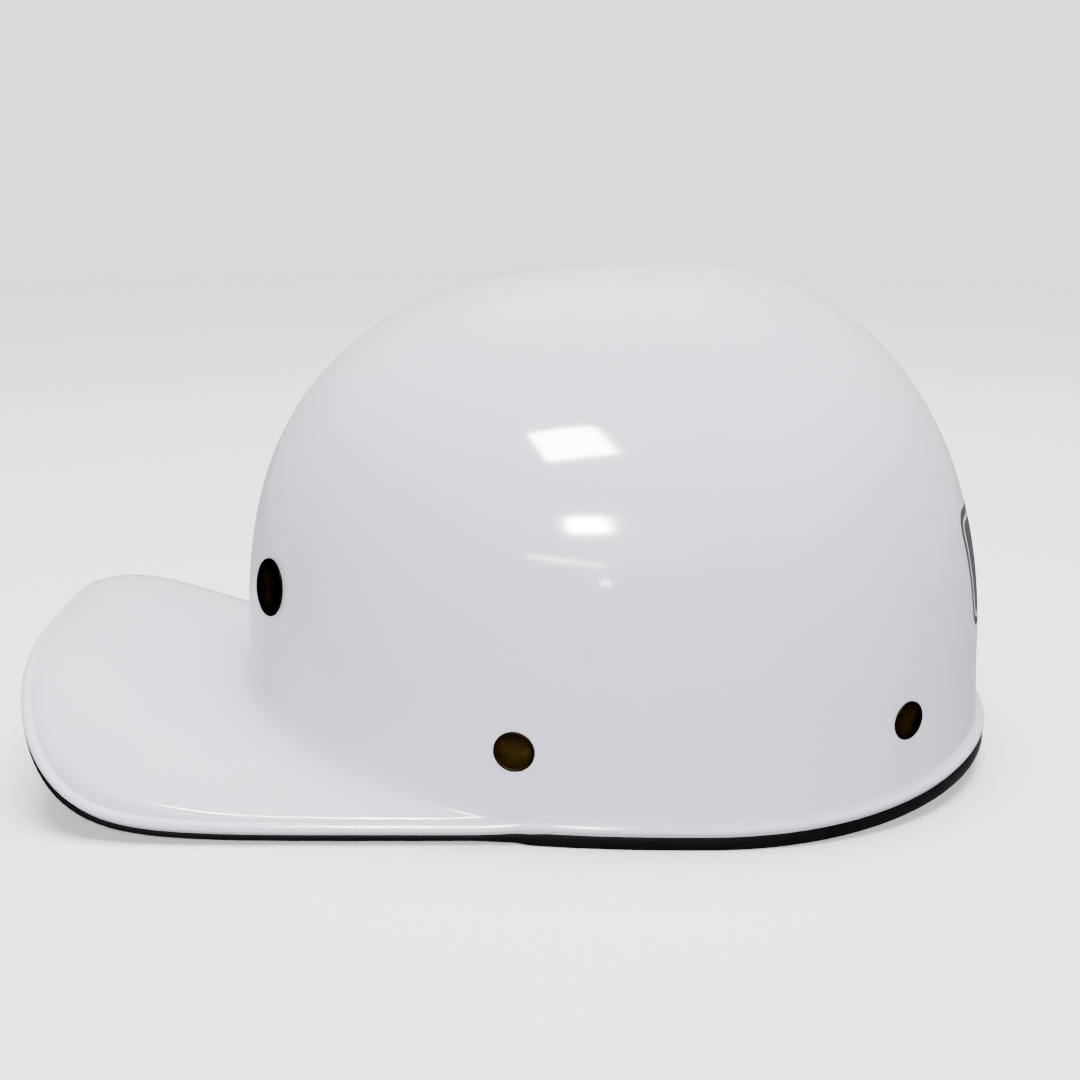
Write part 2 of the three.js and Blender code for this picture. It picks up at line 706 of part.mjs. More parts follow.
/** A standing band along the headband's oval, a number of steps to either side of the front. */
function ovalBand(inset, thickness, bottom, top, steps) {
  const rings = [];
  for (let i = -steps; i <= steps; i++) {
    const angle = i * BAND_STEP;
    const at = (offset, z) =>
      vec(
        (BAND.halfWidth + offset) * Math.sin(angle),
        BAND.centreY - (BAND.halfLength + offset) * Math.cos(angle),
        z,
      );
    const outer = thickness / 2 - inset;
    const inner = -thickness / 2 - inset;
    rings.push([at(outer, bottom), at(outer, top), at(inner, top), at(inner, bottom)]);
  }
  return loft(rings);
}

function headband() {
  const band = ovalBand(0, BAND.thickness, BAND.bottom, BAND.top, BAND_STEPS);
  return cut(band, rod(PIVOT.hole, 200, vec(0, PIVOT.y, PIVOT.z), vec(1, 0, 0)));
}

function sweatband() {
  const inset = BAND.thickness / 2 + GAP + SWEAT.thickness / 2;
  return ovalBand(inset, SWEAT.thickness, SWEAT.bottom, SWEAT.top, SWEAT.steps);
}

// ---------------------------------------------------------------- nape band and ratchet

function pivotPin() {
  const armOuter = ARM.x + ARM.thickness / 2 + GAP;
  const bandInner = BAND.halfWidth - 2;
  const profile = [
    [0, bandInner - 1.4],
    [PIVOT.head, bandInner - 1.2],
    [PIVOT.head, bandInner],
    [PIVOT.pin, bandInner],
    [PIVOT.pin, armOuter],
    [PIVOT.head, armOuter],
    [PIVOT.head, armOuter + 1.2],
    [0, armOuter + 1.6],
  ];
  return aim(turned(profile), vec(0, PIVOT.y, PIVOT.z), vec(1, 0, 0));
}

/** An arm of the nape band on the left, with its rack along the top (1) or the bottom (-1). */
function napeArm(rackSide) {
  const curve = new THREE.CubicBezierCurve3(
    vec(ARM.x, PIVOT.y, 0),
    vec(ARM.x, 60, 0),
    vec(62, ARM.backY, 0),
    vec(ARM.straightX, ARM.backY, 0),
  );
  const far = rackSide * ARM.halfHeight;
  const near = far - rackSide * RACK.height;
  const ring = (point, heading, shrink) => {
    const across = heading.clone().cross(vec(0, 0, 1)).normalize();
    const other = -far + (near + far) * shrink;
    const half = (ARM.thickness + (RACK.thickness - ARM.thickness) * shrink) / 2;
    const at = (side, z) => point.clone().addScaledVector(across, side * half).setZ(PIVOT.z + z);
    return [at(1, other), at(1, far), at(-1, far), at(-1, other)];
  };
  const steps = 14;
  const rings = [];
  for (let i = 0; i <= steps; i++) {
    const t = i / steps;
    rings.push(ring(curve.getPoint(t), curve.getTangent(t), ease((t - 0.72) / 0.28)));
  }
  rings.push(ring(vec(-RACK.endX, ARM.backY, 0), vec(-1, 0, 0), 1));
  const boss = rod(ARM.boss, ARM.thickness, vec(ARM.x, PIVOT.y, PIVOT.z), vec(1, 0, 0), 24);
  const hole = rod(PIVOT.hole, 20, vec(ARM.x, PIVOT.y, PIVOT.z), vec(1, 0, 0));
  return cut(join(loft(rings), boss, ...rackTeeth(rackSide, near)), hole);
}

/** The teeth of a rack: they face the pinion, half a pitch from its nearest tooth. */
function rackTeeth(rackSide, near) {
  const pitch = (2 * Math.PI * PINION.pitch) / PINION.teeth;
  const teeth = [];
  for (let i = -6; i < 6; i++) {
    const x = (i + 0.5) * pitch;
    const root = PIVOT.z + near + rackSide * 0.4;
    const tip = PIVOT.z + near - rackSide * RACK.toothDepth;
    const half = RACK.toothWidth / 2;
    const y = RACK.thickness / 2;
    const low = [x - half, ARM.backY - y, Math.min(root, tip)];
    teeth.push(block(low, [x + half, ARM.backY + y, Math.max(root, tip)]));
  }
  return teeth;
}

function pinion() {
  const shape = new THREE.Shape();
  const pitch = (2 * Math.PI) / PINION.teeth;
  const half = PINION.toothWidth / 2;
  for (let i = 0; i < PINION.teeth; i++) {
    const turn = Math.PI / 2 + i * pitch;
    const along = [Math.cos(turn), Math.sin(turn)];
    const at = (radius, side) => [
      along[0] * radius - along[1] * side,
      PIVOT.z + along[1] * radius + along[0] * side,
    ];
    const corners = [at(PINION.root, -half), at(PINION.outer, -half * 0.7)];
    corners.push(at(PINION.outer, half * 0.7), at(PINION.root, half));
    corners.forEach(([x, y], k) => (i + k === 0 ? shape.moveTo(x, y) : shape.lineTo(x, y)));
  }
  shape.closePath();
  const gear = slab(shape, 102.2, 105.9);
  const top = KNOB.from + 3;
  return join(gear, rod(PINION.root, top - 105.5, vec(0, (top + 105.5) / 2, PIVOT.z), vec(0, 1, 0)));
}

function ratchetHousing() {
  const { halfWidth, halfHeight, corner, front, back, wall } = HOUSING;
  const centre = [0, PIVOT.z];
  const outer = slab(roundedRectangle(halfWidth, halfHeight, corner, centre), front, back);
  const pocket = roundedRectangle(halfWidth - wall, halfHeight - wall, corner - wall, centre);
  const slot = ARM.halfHeight + 0.8;
  return cut(
    outer,
    slab(pocket, front + 2.2, back + 5),
    block([-50, ARM.backY - 1.7, PIVOT.z - slot], [50, back + 5, PIVOT.z + slot]),
  );
}

function ratchetCover() {
  const { halfWidth, halfHeight, corner } = HOUSING;
  const plate = roundedRectangle(halfWidth, halfHeight, corner, [0, PIVOT.z]);
  plate.holes.push(new THREE.Path().absarc(0, PIVOT.z, COVER.bore, 0, 2 * Math.PI));
  return slab(plate, COVER.from, COVER.to);
}

function knob() {
  const shape = new THREE.Shape();
  const steps = KNOB.lobes * 4;
  for (let i = 0; i < steps; i++) {
    const turn = (2 * Math.PI * i) / steps;
    const radius = KNOB.radius + KNOB.lobe * Math.cos(KNOB.lobes * turn);
    const [x, y] = [radius * Math.cos(turn), radius * Math.sin(turn)];
    if (i === 0) shape.moveTo(x, y);
    else shape.lineTo(x, y);
  }
  shape.closePath();
  const grip = new THREE.ExtrudeGeometry(shape, {
    depth: KNOB.height,
    bevelThickness: KNOB.bevel,
    bevelSize: KNOB.bevel,
    bevelOffset: -KNOB.bevel,
    bevelSegments: 1,
  });
  grip.rotateX(Math.PI / 2).translate(0, KNOB.from + KNOB.height + KNOB.bevel, PIVOT.z);
  const bore = rod(KNOB.bore, 7, vec(0, KNOB.from, PIVOT.z), vec(0, 1, 0));
  return cut(grip, bore);
}

/** A leaf that clicks over the pinion's teeth. */
function clickSpring() {
  const leaf = new THREE.Shape();
  leaf.moveTo(5.6, PIVOT.z - 0.4);
  leaf.lineTo(6.6, PIVOT.z - 1);
  leaf.quadraticCurveTo(16, PIVOT.z - 1.6, 25, PIVOT.z - 0.4);
  leaf.lineTo(25, PIVOT.z + 0.5);
  leaf.quadraticCurveTo(16, PIVOT.z - 0.6, 6.4, PIVOT.z + 0.2);
  leaf.closePath();
  return slab(leaf, 102.2, 105.4);
}

function napePad() {
  const { halfWidth, halfHeight, corner, from, to } = NAPE_PAD;
  return slab(roundedRectangle(halfWidth, halfHeight, corner, [0, PIVOT.z]), from, to, 4);
}

// ---------------------------------------------------------------- chin strap

/** The plate on the stud that holds the webbing, drawn in Y and Z. */
function chinLink() {
  const shape = new THREE.Shape();
  const { bar, halfHeight, eye } = LINK;
  shape.absarc(0, 0, eye, Math.PI / 2, 1.5 * Math.PI);
  shape.lineTo(bar - 7, -halfHeight);
  shape.absarc(bar - 2, -halfHeight + 2, 2, -Math.PI / 2, 0);
  shape.absarc(bar - 2, halfHeight - 2, 2, 0, Math.PI / 2);
  shape.lineTo(bar - 7, halfHeight);
  shape.closePath();
  shape.holes.push(new THREE.Path().absarc(0, 0, CHIN.hole, 0, 2 * Math.PI));
  const slot = new THREE.Path();
  slot.moveTo(bar - 5.4, -8.3);
  slot.lineTo(bar - 2.8, -8.3);
  slot.lineTo(bar - 2.8, 8.3);
  slot.lineTo(bar - 5.4, 8.3);
  slot.closePath();
  shape.holes.push(slot);
  const plate = new THREE.ExtrudeGeometry(shape, {
    depth: LINK.thickness,
    bevelEnabled: false,
    curveSegments: 8,
  });
  const frame = new THREE.Matrix4().makeBasis(vec(0, 1, 0), vec(0, 0, 1), vec(1, 0, 0));
  return plate.applyMatrix4(frame).translate(LINK.from, CHIN.y, CHIN.z);
}

/** Webbing on edge along a route. */
function webbing(route, steps) {
  const curve = new THREE.CatmullRomCurve3(route, false, "centripetal");
  const rings = [];
  for (let i = 0; i <= steps; i++) {
    const heading = curve.getTangentAt(i / steps);
    const thin = heading.clone().cross(vec(0, 0, 1)).normalize();
    const wide = thin.clone().cross(heading);
    const point = curve.getPointAt(i / steps);
    rings.push(ribbonRing(point, wide, thin, CHIN.width, CHIN.thickness));
  }
  return loft(rings);
}

/** The two runs of webbing: link to socket, and plug round the back to the other link. */
function chinRoutes() {
  const link = vec(LINK.from + LINK.thickness + 1.1, CHIN.y + LINK.bar - 5, CHIN.z);
  const behind = CHIN_ROUTE.turns.map((angle) => {
    const edge = rimEdge(angle * DEG);
    const share = ease((edge.y - 40) / 90);
    const inward = domeNormal(angle * DEG, -0.8).setZ(0).normalize();
    return edge.addScaledVector(inward, -CHIN_ROUTE.inset).setZ(CHIN.z - CHIN_ROUTE.rearDrop * share);
  });
  const level = (y) => vec(BUCKLE.x, y, CHIN.z);
  const short = [link, level(-8), level(BUCKLE.front - GAP)];
  const right = behind.slice(0, -1).reverse().map(mirrored);
  const start = [level(BUCKLE.back + GAP), level(BUCKLE.back + 8)];
  const end = [mirrored(level(BUCKLE.back)), mirrored(level(0)), mirrored(link)];
  return { short, long: [...start, ...behind, ...right, ...end] };
}

/** A block of the buckle, from its half thickness, its Y range and its heights about the webbing. */
const buckleBlock = (half, [fromY, toY], [low, high]) =>
  block([BUCKLE.x - half, fromY, CHIN.z + low], [BUCKLE.x + half, toY, CHIN.z + high]);

/** The buckle's socket: a flat sleeve, open at its mouth, with a window on each edge. */
function buckleSocket() {
  const { halfThickness, halfWidth, front, mouth } = BUCKLE;
  const inner = halfThickness - 1.2;
  const sleeve = buckleBlock(halfThickness, [front, mouth], [-halfWidth, halfWidth]);
  const cavity = buckleBlock(inner, [front + 5, mouth + 5], [1.6 - halfWidth, halfWidth - 1.6]);
  const windows = buckleBlock(inner, [front + 8, mouth - 4], [-20, 20]);
  return cut(sleeve, cavity, windows);
}

/** The buckle's plug: a ladder-lock base with a middle tongue and two sprung prongs. */
function bucklePlug() {
  const { halfThickness, halfWidth, mouth, back } = BUCKLE;
  const finger = halfThickness - 1.6;
  const root = mouth + 1;
  const base = buckleBlock(halfThickness, [mouth + GAP, back], [-halfWidth, halfWidth]);
  const tongue = buckleBlock(finger, [mouth - 12, root], [-1.6, 1.6]);
  const upper = buckleBlock(finger, [mouth - 14.5, root], [halfWidth - 4.6, halfWidth - 2.1]);
  const lower = buckleBlock(finger, [mouth - 14.5, root], [2.1 - halfWidth, 4.6 - halfWidth]);
  const slot = (y) => buckleBlock(9, [y, y + 2.6], [-7.9, 7.9]);
  return cut(join(base, tongue, upper, lower), slot(back - 5), slot(back - 11));
}

// ---------------------------------------------------------------- the assembly

const hat = new THREE.Group();

function add(name, geometry, finish) {
  const mesh = new THREE.Mesh(geometry, new THREE.MeshStandardMaterial(FINISH[finish]));
  mesh.name = name;
  mesh.position.y = TO_MIDDLE;
  hat.add(mesh);
}

/** Adds a piece made for the wearer's left, and its mirror image on the right. */
function addPair(name, geometry, finish) {
  const left = geometry.index ? geometry : mergeVertices(geometry);
  add(`${name}_left`, left, finish);
  add(`${name}_right`, acrossHat(left), finish);
}

const columns = makeColumns();
const rivetHoles = RIVETS.flatMap((rivet) => {
  const { point, normal } = seat(rivet);
  const flipped = mirrored(point);
  return [rod(RIVET.hole, 24, point, normal), rod(RIVET.hole, 24, flipped, mirrored(normal))];
});
add("shell", cut(shellBlank(columns), ...rivetHoles), "shell");
add("edge_trim", edgeTrim(columns), "trim");

for (const rivet of RIVETS) {
  addPair(`rivet_${rivet.place}`, rivetBody(rivet), "brass");
  addPair(`washer_${rivet.place}`, washer(rivet), "steel");
  addPair(`hanger_${rivet.place}`, hanger(rivet), "plastic");
}

const [front, side, rear] = RIVETS;
add("crown_strap_side", crownStrap(strapFoot(side, 1), strapFoot(side, -1), 0), "webbing");
add("crown_strap_left", crownStrap(strapFoot(front, 1), strapFoot(rear, -1), 1), "webbing");
add("crown_strap_right", crownStrap(strapFoot(front, -1), strapFoot(rear, 1), 2), "webbing");
add("crown_pad", crownPad(), "foam");
add("headband", headband(), "plastic");
add("sweatband", sweatband(), "foam");

addPair("pivot_pin", pivotPin(), "plastic");
add("nape_arm_left", napeArm(1), "plastic");
add("nape_arm_right", acrossHat(napeArm(-1)), "plastic");
add("ratchet_housing", ratchetHousing(), "plastic");
add("ratchet_cover", ratchetCover(), "plastic");
add("click_spring", clickSpring(), "steel");
add("pinion", pinion(), "plastic");
add("ratchet_knob", knob(), "plastic");
add("nape_pad", napePad(), "foam");

const routes = chinRoutes();
addPair("chin_stud", chinStud(), "brass");
addPair("chin_link", chinLink(), "plastic");
add("chin_strap_short", webbing(routes.short, 4), "webbing");
add("chin_strap_long", webbing(routes.long, 34), "webbing");
add("buckle_socket", buckleSocket(), "plastic");
add("buckle_plug", bucklePlug(), "plastic");

export default hat;
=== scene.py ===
"""Looks for a baseball-cap style hard hat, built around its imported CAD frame.

Shapes are drawn in millimetres about the middle of the dome, as the CAD draws them, and
`placed` turns them into metres in the frame. The brim points along -Y and the hat's left is +X.
"""

import json
import math

import bmesh
import bpy
import numpy as np
from mathutils import Matrix, Vector

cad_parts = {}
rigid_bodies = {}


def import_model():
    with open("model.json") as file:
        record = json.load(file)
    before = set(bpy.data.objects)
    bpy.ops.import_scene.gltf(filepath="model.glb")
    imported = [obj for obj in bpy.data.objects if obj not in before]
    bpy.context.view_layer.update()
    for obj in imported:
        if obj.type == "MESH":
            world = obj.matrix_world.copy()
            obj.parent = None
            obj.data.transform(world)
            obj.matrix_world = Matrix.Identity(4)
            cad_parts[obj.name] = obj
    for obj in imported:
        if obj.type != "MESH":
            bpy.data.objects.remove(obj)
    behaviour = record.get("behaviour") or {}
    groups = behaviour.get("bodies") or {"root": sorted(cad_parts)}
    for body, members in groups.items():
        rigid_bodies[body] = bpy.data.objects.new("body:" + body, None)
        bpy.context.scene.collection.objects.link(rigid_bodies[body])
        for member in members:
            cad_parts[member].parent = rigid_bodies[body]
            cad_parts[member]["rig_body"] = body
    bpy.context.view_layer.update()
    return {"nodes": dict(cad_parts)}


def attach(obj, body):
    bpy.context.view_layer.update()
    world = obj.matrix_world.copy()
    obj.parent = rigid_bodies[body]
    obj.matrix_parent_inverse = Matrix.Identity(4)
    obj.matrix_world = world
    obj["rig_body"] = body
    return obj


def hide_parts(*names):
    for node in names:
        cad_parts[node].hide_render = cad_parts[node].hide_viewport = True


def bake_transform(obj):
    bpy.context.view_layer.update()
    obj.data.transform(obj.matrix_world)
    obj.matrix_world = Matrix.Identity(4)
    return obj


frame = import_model()
NODES = frame["nodes"]

MM = 0.001
TO_MIDDLE = 33.9
DEG = math.pi / 180
SHARP = 40

# The dome: its size, the plan's powers, the side curves' powers and the flare below the belt,
# these two at the front, the side and the rear.
DOME = dict(half_length=131, half_width=105, widest_y=25, crown_y=22, height=172, belt_z=36, thickness=3)
PLAN_FRONT, PLAN_REAR = 2.37, 2.13
MERIDIAN = (2.66, 2.0, 2.2)
FLARE = (0.035, 0.007, 0.039)

# The arched brim, from the plan angle where it leaves the rim.
ROOT_PHI = 72 * DEG
BRIM = dict(tip_y=-203.2, width_power=3.226, length_power=9.8, root_lift=18.5, rise=25.8, rise_start=40,
            rise_end=60.8, rise_shape=1.44, droop=2.8, arch_half_width=106, softness=15, root_power=3.6,
            tip_power=2.59, edge_ease=4, fillet=8)

# The rim: its bead, raised a little on the brim, and the lip that the trim grips.
BEAD = 1.8
BEAD_RISE = 3.4
BEAD_RADIUS = 1.6
RAISED_BEAD = 0.3
LIP_INNER = 4.6
SHOULDER = 3.2
RIM_ABOVE_REST = 4.5
UNDERSIDE = 3.4

# The rivets, as plan angle, height and cap radius, and the suspension's places.
RIVETS = {"front": (25.6 * DEG, 69.7, 9.8), "side": (71.5 * DEG, 31, 6.7), "rear": (128 * DEG, 35, 6.5)}
HANGER_TOP = {"front": 88, "side": 68, "rear": 53}
CROWN = np.array([0.0, -10.0, 134.0])
BAND = dict(centre_y=4, half_width=80, half_length=100)
PIVOT_Y, PIVOT_Z = 12.7, 37
CHIN_Y, CHIN_Z = -34, 12
STRAP_ARC = 2 / 2.1

# The plain printed mark on the back, in metres: its middle's height, its size and its inline stripe.
MARK = dict(height=0.0725, half_width=0.045, half_height=0.0205, corner=0.008, inline=0.0036)


# ---------------------------------------------------------------- mesh helpers

def placed(points):
    """Millimetres about the dome's middle to metres in the frame."""
    points = np.array(points, float).reshape(-1, 3)
    points[:, 1] += TO_MIDDLE
    return points * MM


def finish_mesh(mesh, sharp):
    """Turns the faces outward and shades them smooth, but for edges over an angle in degrees."""
    work = bmesh.new()
    work.from_mesh(mesh)
    bmesh.ops.remove_doubles(work, verts=work.verts, dist=1e-7)
    bmesh.ops.recalc_face_normals(work, faces=work.faces)
    work.to_mesh(mesh)
    work.free()
    mesh.shade_smooth()
    mesh.set_sharp_from_angle(angle=sharp * DEG)


def new_object(name, points, faces, sharp=SHARP, lay=None):
    """An object from points in metres. lay is each point's place on flat goods, in mm."""
    mesh = bpy.data.meshes.new(name)
    mesh.from_pydata([tuple(p) for p in points], [], [tuple(f) for f in faces])
    if lay is not None:
        attribute = mesh.attributes.new("lay", "FLOAT_VECTOR", "POINT")
        attribute.data.foreach_set("vector", np.asarray(lay, np.float32).ravel())
    finish_mesh(mesh, sharp)
    obj = bpy.data.objects.new(name, mesh)
    bpy.context.scene.collection.objects.link(obj)
    return obj


def settle(obj, node, material, body=None):
    """Gives a piece its finish, lets it stand for a CAD node and rides it on the node's body; when body is
    given it rides on nothing and only has its place baked into its mesh.
    """
    obj.data.materials.clear()
    obj.data.materials.append(material)
    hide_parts(node)
    if body is not None:
        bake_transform(obj)
    else:
        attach(obj, NODES[node]["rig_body"])


def grid_faces(rows, count):
    """Quads between rows of points, each row's last point joined to its first."""
    faces = []
    for row in range(rows - 1):
        for i in range(count):
            a, b = row * count + i, row * count + (i + 1) % count
            faces.append((a, b, b + count, a + count))
    return faces


def loft(rings):
    """Points and faces of a body through rings of equal length, closed at both ends."""
    rings = np.asarray(rings, float)
    rows, count = rings.shape[:2]
    faces = grid_faces(rows, count)
    faces.append(tuple(range(count))[::-1])
    faces.append(tuple((rows - 1) * count + i for i in range(count)))
    return rings.reshape(-1, 3), faces


def turned(name, profile, origin, axis, segments=48, sharp=SHARP):
    """A lathed body whose own Z axis is its axis. The profile is (radius, height) pairs in mm."""
    points, faces = [], []
    on_axis = [r == 0 for r, _ in profile]
    index = []
    for (r, h), single in zip(profile, on_axis):
        index.append(len(points))
        turns = [0] if single else [2 * math.pi * i / segments for i in range(segments)]
        points += [(r * math.cos(t) * MM, r * math.sin(t) * MM, h * MM) for t in turns]
    for k in range(len(profile) - 1):
        a, b = index[k], index[k + 1]
        for i in range(segments):
            j = (i + 1) % segments
            if on_axis[k]:
                faces.append((a, b + i, b + j))
            elif on_axis[k + 1]:
                faces.append((a + i, b, a + j))
            else:
                faces.append((a + i, b + i, b + j, a + j))
    obj = new_object(name, points, faces, sharp)
    turn = Vector((0, 0, 1)).rotation_difference(Vector(axis)).to_matrix().to_4x4()
    obj.matrix_world = Matrix.Translation(Vector(placed(origin)[0])) @ turn
    return obj


def from_cad(node, bevel):
    """A copy of a CAD node with its edges rounded off, for pieces whose shape is already right."""
    mesh = NODES[node].data.copy()
    mesh.name = node + "_look"
    work = bmesh.new()
    work.from_mesh(mesh)
    bmesh.ops.remove_doubles(work, verts=work.verts, dist=1e-6)
    bmesh.ops.dissolve_limit(work, angle_limit=2 * DEG, verts=work.verts, edges=work.edges)
    work.to_mesh(mesh)
    work.free()
    obj = bpy.data.objects.new(node + "_look", mesh)
    bpy.context.scene.collection.objects.link(obj)
    modifier = obj.modifiers.new("edges", "BEVEL")
    modifier.width = bevel * MM
    modifier.segments = 3
    modifier.limit_method = "ANGLE"
    modifier.angle_limit = SHARP * DEG
    modifier.use_clamp_overlap = True
    bpy.context.view_layer.update()
    final = bpy.data.meshes.new_from_object(obj.evaluated_get(bpy.context.evaluated_depsgraph_get()))
    obj.modifiers.clear()
    obj.data = final
    finish_mesh(final, SHARP)
    return obj


# ---------------------------------------------------------------- dome and brim surfaces

def clamp01(v):
    return np.clip(v, 0, 1)


def ease(v):
    return clamp01(v) ** 2 * (3 - 2 * clamp01(v))


def power(v, p):
    return np.sign(v) * np.abs(v) ** p


def by_angle(values, phi):
    """Weights front, side and rear values by plan angle, 0 at the front."""
    c = np.cos(phi)
    front, rear = np.maximum(c, 0) ** 2, np.maximum(-c, 0) ** 2
    return values[0] * front + values[2] * rear + values[1] * (1 - front - rear)


def dome_point(phi, level):
    """The dome's outer face: level 1 is the crown, 0 the belt and -1 the rest plane."""
    phi, level = np.broadcast_arrays(np.asarray(phi, float), np.asarray(level, float))
    c = np.cos(phi)
    p = 2 / np.where(c > 0, PLAN_FRONT, PLAN_REAR)
    reach = np.where(c > 0, DOME["widest_y"] + DOME["half_length"], DOME["half_length"] - DOME["widest_y"])
    x = DOME["half_width"] * power(np.sin(phi), p)
    y = DOME["widest_y"] - reach * power(c, p)
    q = 2 / by_angle(MERIDIAN, phi)
    turn = clamp01(level) * math.pi / 2
    flare = np.where(level < 0, 1 + by_angle(FLARE, phi) * level**2, 1)
    spread = np.maximum(np.cos(turn), 0) ** q * flare
    above = (DOME["height"] - DOME["belt_z"]) * np.sin(turn) ** q
    z = np.where(level < 0, DOME["belt_z"] * (1 + level), DOME["belt_z"] + above)
    return np.stack([x * spread, DOME["crown_y"] + (y - DOME["crown_y"]) * spread, z], -1)


def dome_level(phi, z):
    rise = clamp01((z - DOME["belt_z"]) / (DOME["height"] - DOME["belt_z"]))
    above = np.arcsin(rise ** (by_angle(MERIDIAN, phi) / 2)) * 2 / math.pi
    return np.where(z < DOME["belt_z"], z / DOME["belt_z"] - 1, above)


def unit(v):
    return v / np.linalg.norm(v, axis=-1, keepdims=True)


def dome_normal(phi, level):
    step = 1e-3
    around = dome_point(phi + step, level) - dome_point(phi - step, level)
    up = dome_point(phi, np.minimum(level + step, 0.999)) - dome_point(phi, level - step)
    return unit(np.cross(around, up))


def wall_point(phi, z):
    return dome_point(phi, dome_level(phi, z))


def inner_wall_point(phi, z):
    level = dome_level(phi, z)
    return dome_point(phi, level) - DOME["thickness"] * dome_normal(phi, level)


def brim_rise(x, y):
    """Height of the arched brim above its side edges."""
    ahead = -DOME["half_length"] - y
    length = -DOME["half_length"] - BRIM["tip_y"]
    along = clamp01((ahead + BRIM["rise_start"]) / (BRIM["rise_start"] + BRIM["rise_end"]))
    lift = (1 - np.cos(math.pi * along ** BRIM["rise_shape"])) / 2
    fall = np.maximum(0, (ahead - BRIM["rise_end"]) / (length - BRIM["rise_end"])) ** 2
    crest = BRIM["root_lift"] + BRIM["rise"] * lift - BRIM["droop"] * fall
    soft = lambda v: np.hypot(v, BRIM["softness"]) - BRIM["softness"]
    across = soft(x) / soft(BRIM["arch_half_width"])
    shape = BRIM["root_power"] + (BRIM["tip_power"] - BRIM["root_power"]) * ease(ahead / length)
    arch = crest * (1 - across**shape)
    return np.maximum(0, arch + np.hypot(arch, BRIM["edge_ease"]) - BRIM["edge_ease"]) / 2


def on_rim(phi):
    """0 on the brim's edge, 1 on the rim behind it."""
    return ease((np.abs(phi) - ROOT_PHI + 4.5 * DEG) / (8.5 * DEG))


def rim_edge(phi):
    wall = wall_point(phi, RIM_ABOVE_REST + BEAD_RISE)
    normal = dome_normal(phi, -0.8) * [1, 1, 0]
    return wall + BEAD * unit(normal)


def resample(points, count):
    """A polyline spaced evenly again, with that many points."""
    steps = np.linalg.norm(np.diff(points, axis=0), axis=1)
    length = np.concatenate([[0], np.cumsum(steps)])
    at = np.linspace(0, length[-1], count)
    return np.stack([np.interp(at, length, points[:, k]) for k in range(points.shape[1])], -1)


BRIM_STEPS, RIM_STEPS = 80, 130


class Columns:
    """The shell's columns round the hat: plan angle, bead point, outward direction, heights."""

    def __init__(self):
        root = rim_edge(ROOT_PHI)
        i = np.arange(-600, 601) / 600
        turn = np.sign(i) * (1 - (1 - i**2) ** 3) * math.pi / 2
        x = root[0] * power(np.sin(turn), 2 / BRIM["width_power"])
        fore = np.maximum(np.cos(turn), 0) ** (2 / BRIM["length_power"])
        y = root[1] + (BRIM["tip_y"] - root[1]) * fore
        brim = resample(np.stack([x, y], -1), 2 * BRIM_STEPS + 1)
        brim_phi = ROOT_PHI * (np.arange(2 * BRIM_STEPS + 1) / BRIM_STEPS - 1)
        share = np.arange(1, RIM_STEPS) / RIM_STEPS
        rim_phi = ROOT_PHI + (2 * math.pi - 2 * ROOT_PHI) * share
        rim_phi = np.where(rim_phi > math.pi, rim_phi - 2 * math.pi, rim_phi)
        rim = rim_edge(rim_phi)[:, :2]
        self.phi = np.concatenate([brim_phi, rim_phi])
        self.edge = np.concatenate([brim, rim])
        behind = (self.edge[:, 1] - DOME["widest_y"]) / (DOME["half_length"] - DOME["widest_y"])
        brim_rest = brim_rise(brim[:, 0], brim[:, 1]) * (1 - on_rim(brim_phi))
        rear_rest = 8 * np.maximum(0, behind[len(brim):]) ** 2.13
        self.rest = np.concatenate([brim_rest, rear_rest])
        after, before = np.roll(self.edge, -1, 0), np.roll(self.edge, 1, 0)
        self.out = unit(np.stack([after[:, 1] - before[:, 1], before[:, 0] - after[:, 0]], -1))
        self.lip = 1 + 2.4 * on_rim(self.phi)
        self.top = self.rest + RIM_ABOVE_REST + self.lip

    def inward(self, distance, z):
        """Points a distance in from the bead, at a height."""
        distance, z = (np.broadcast_to(v, self.phi.shape)[:, None] for v in (distance, z))
        return np.concatenate([self.edge - self.out * distance, z], -1)


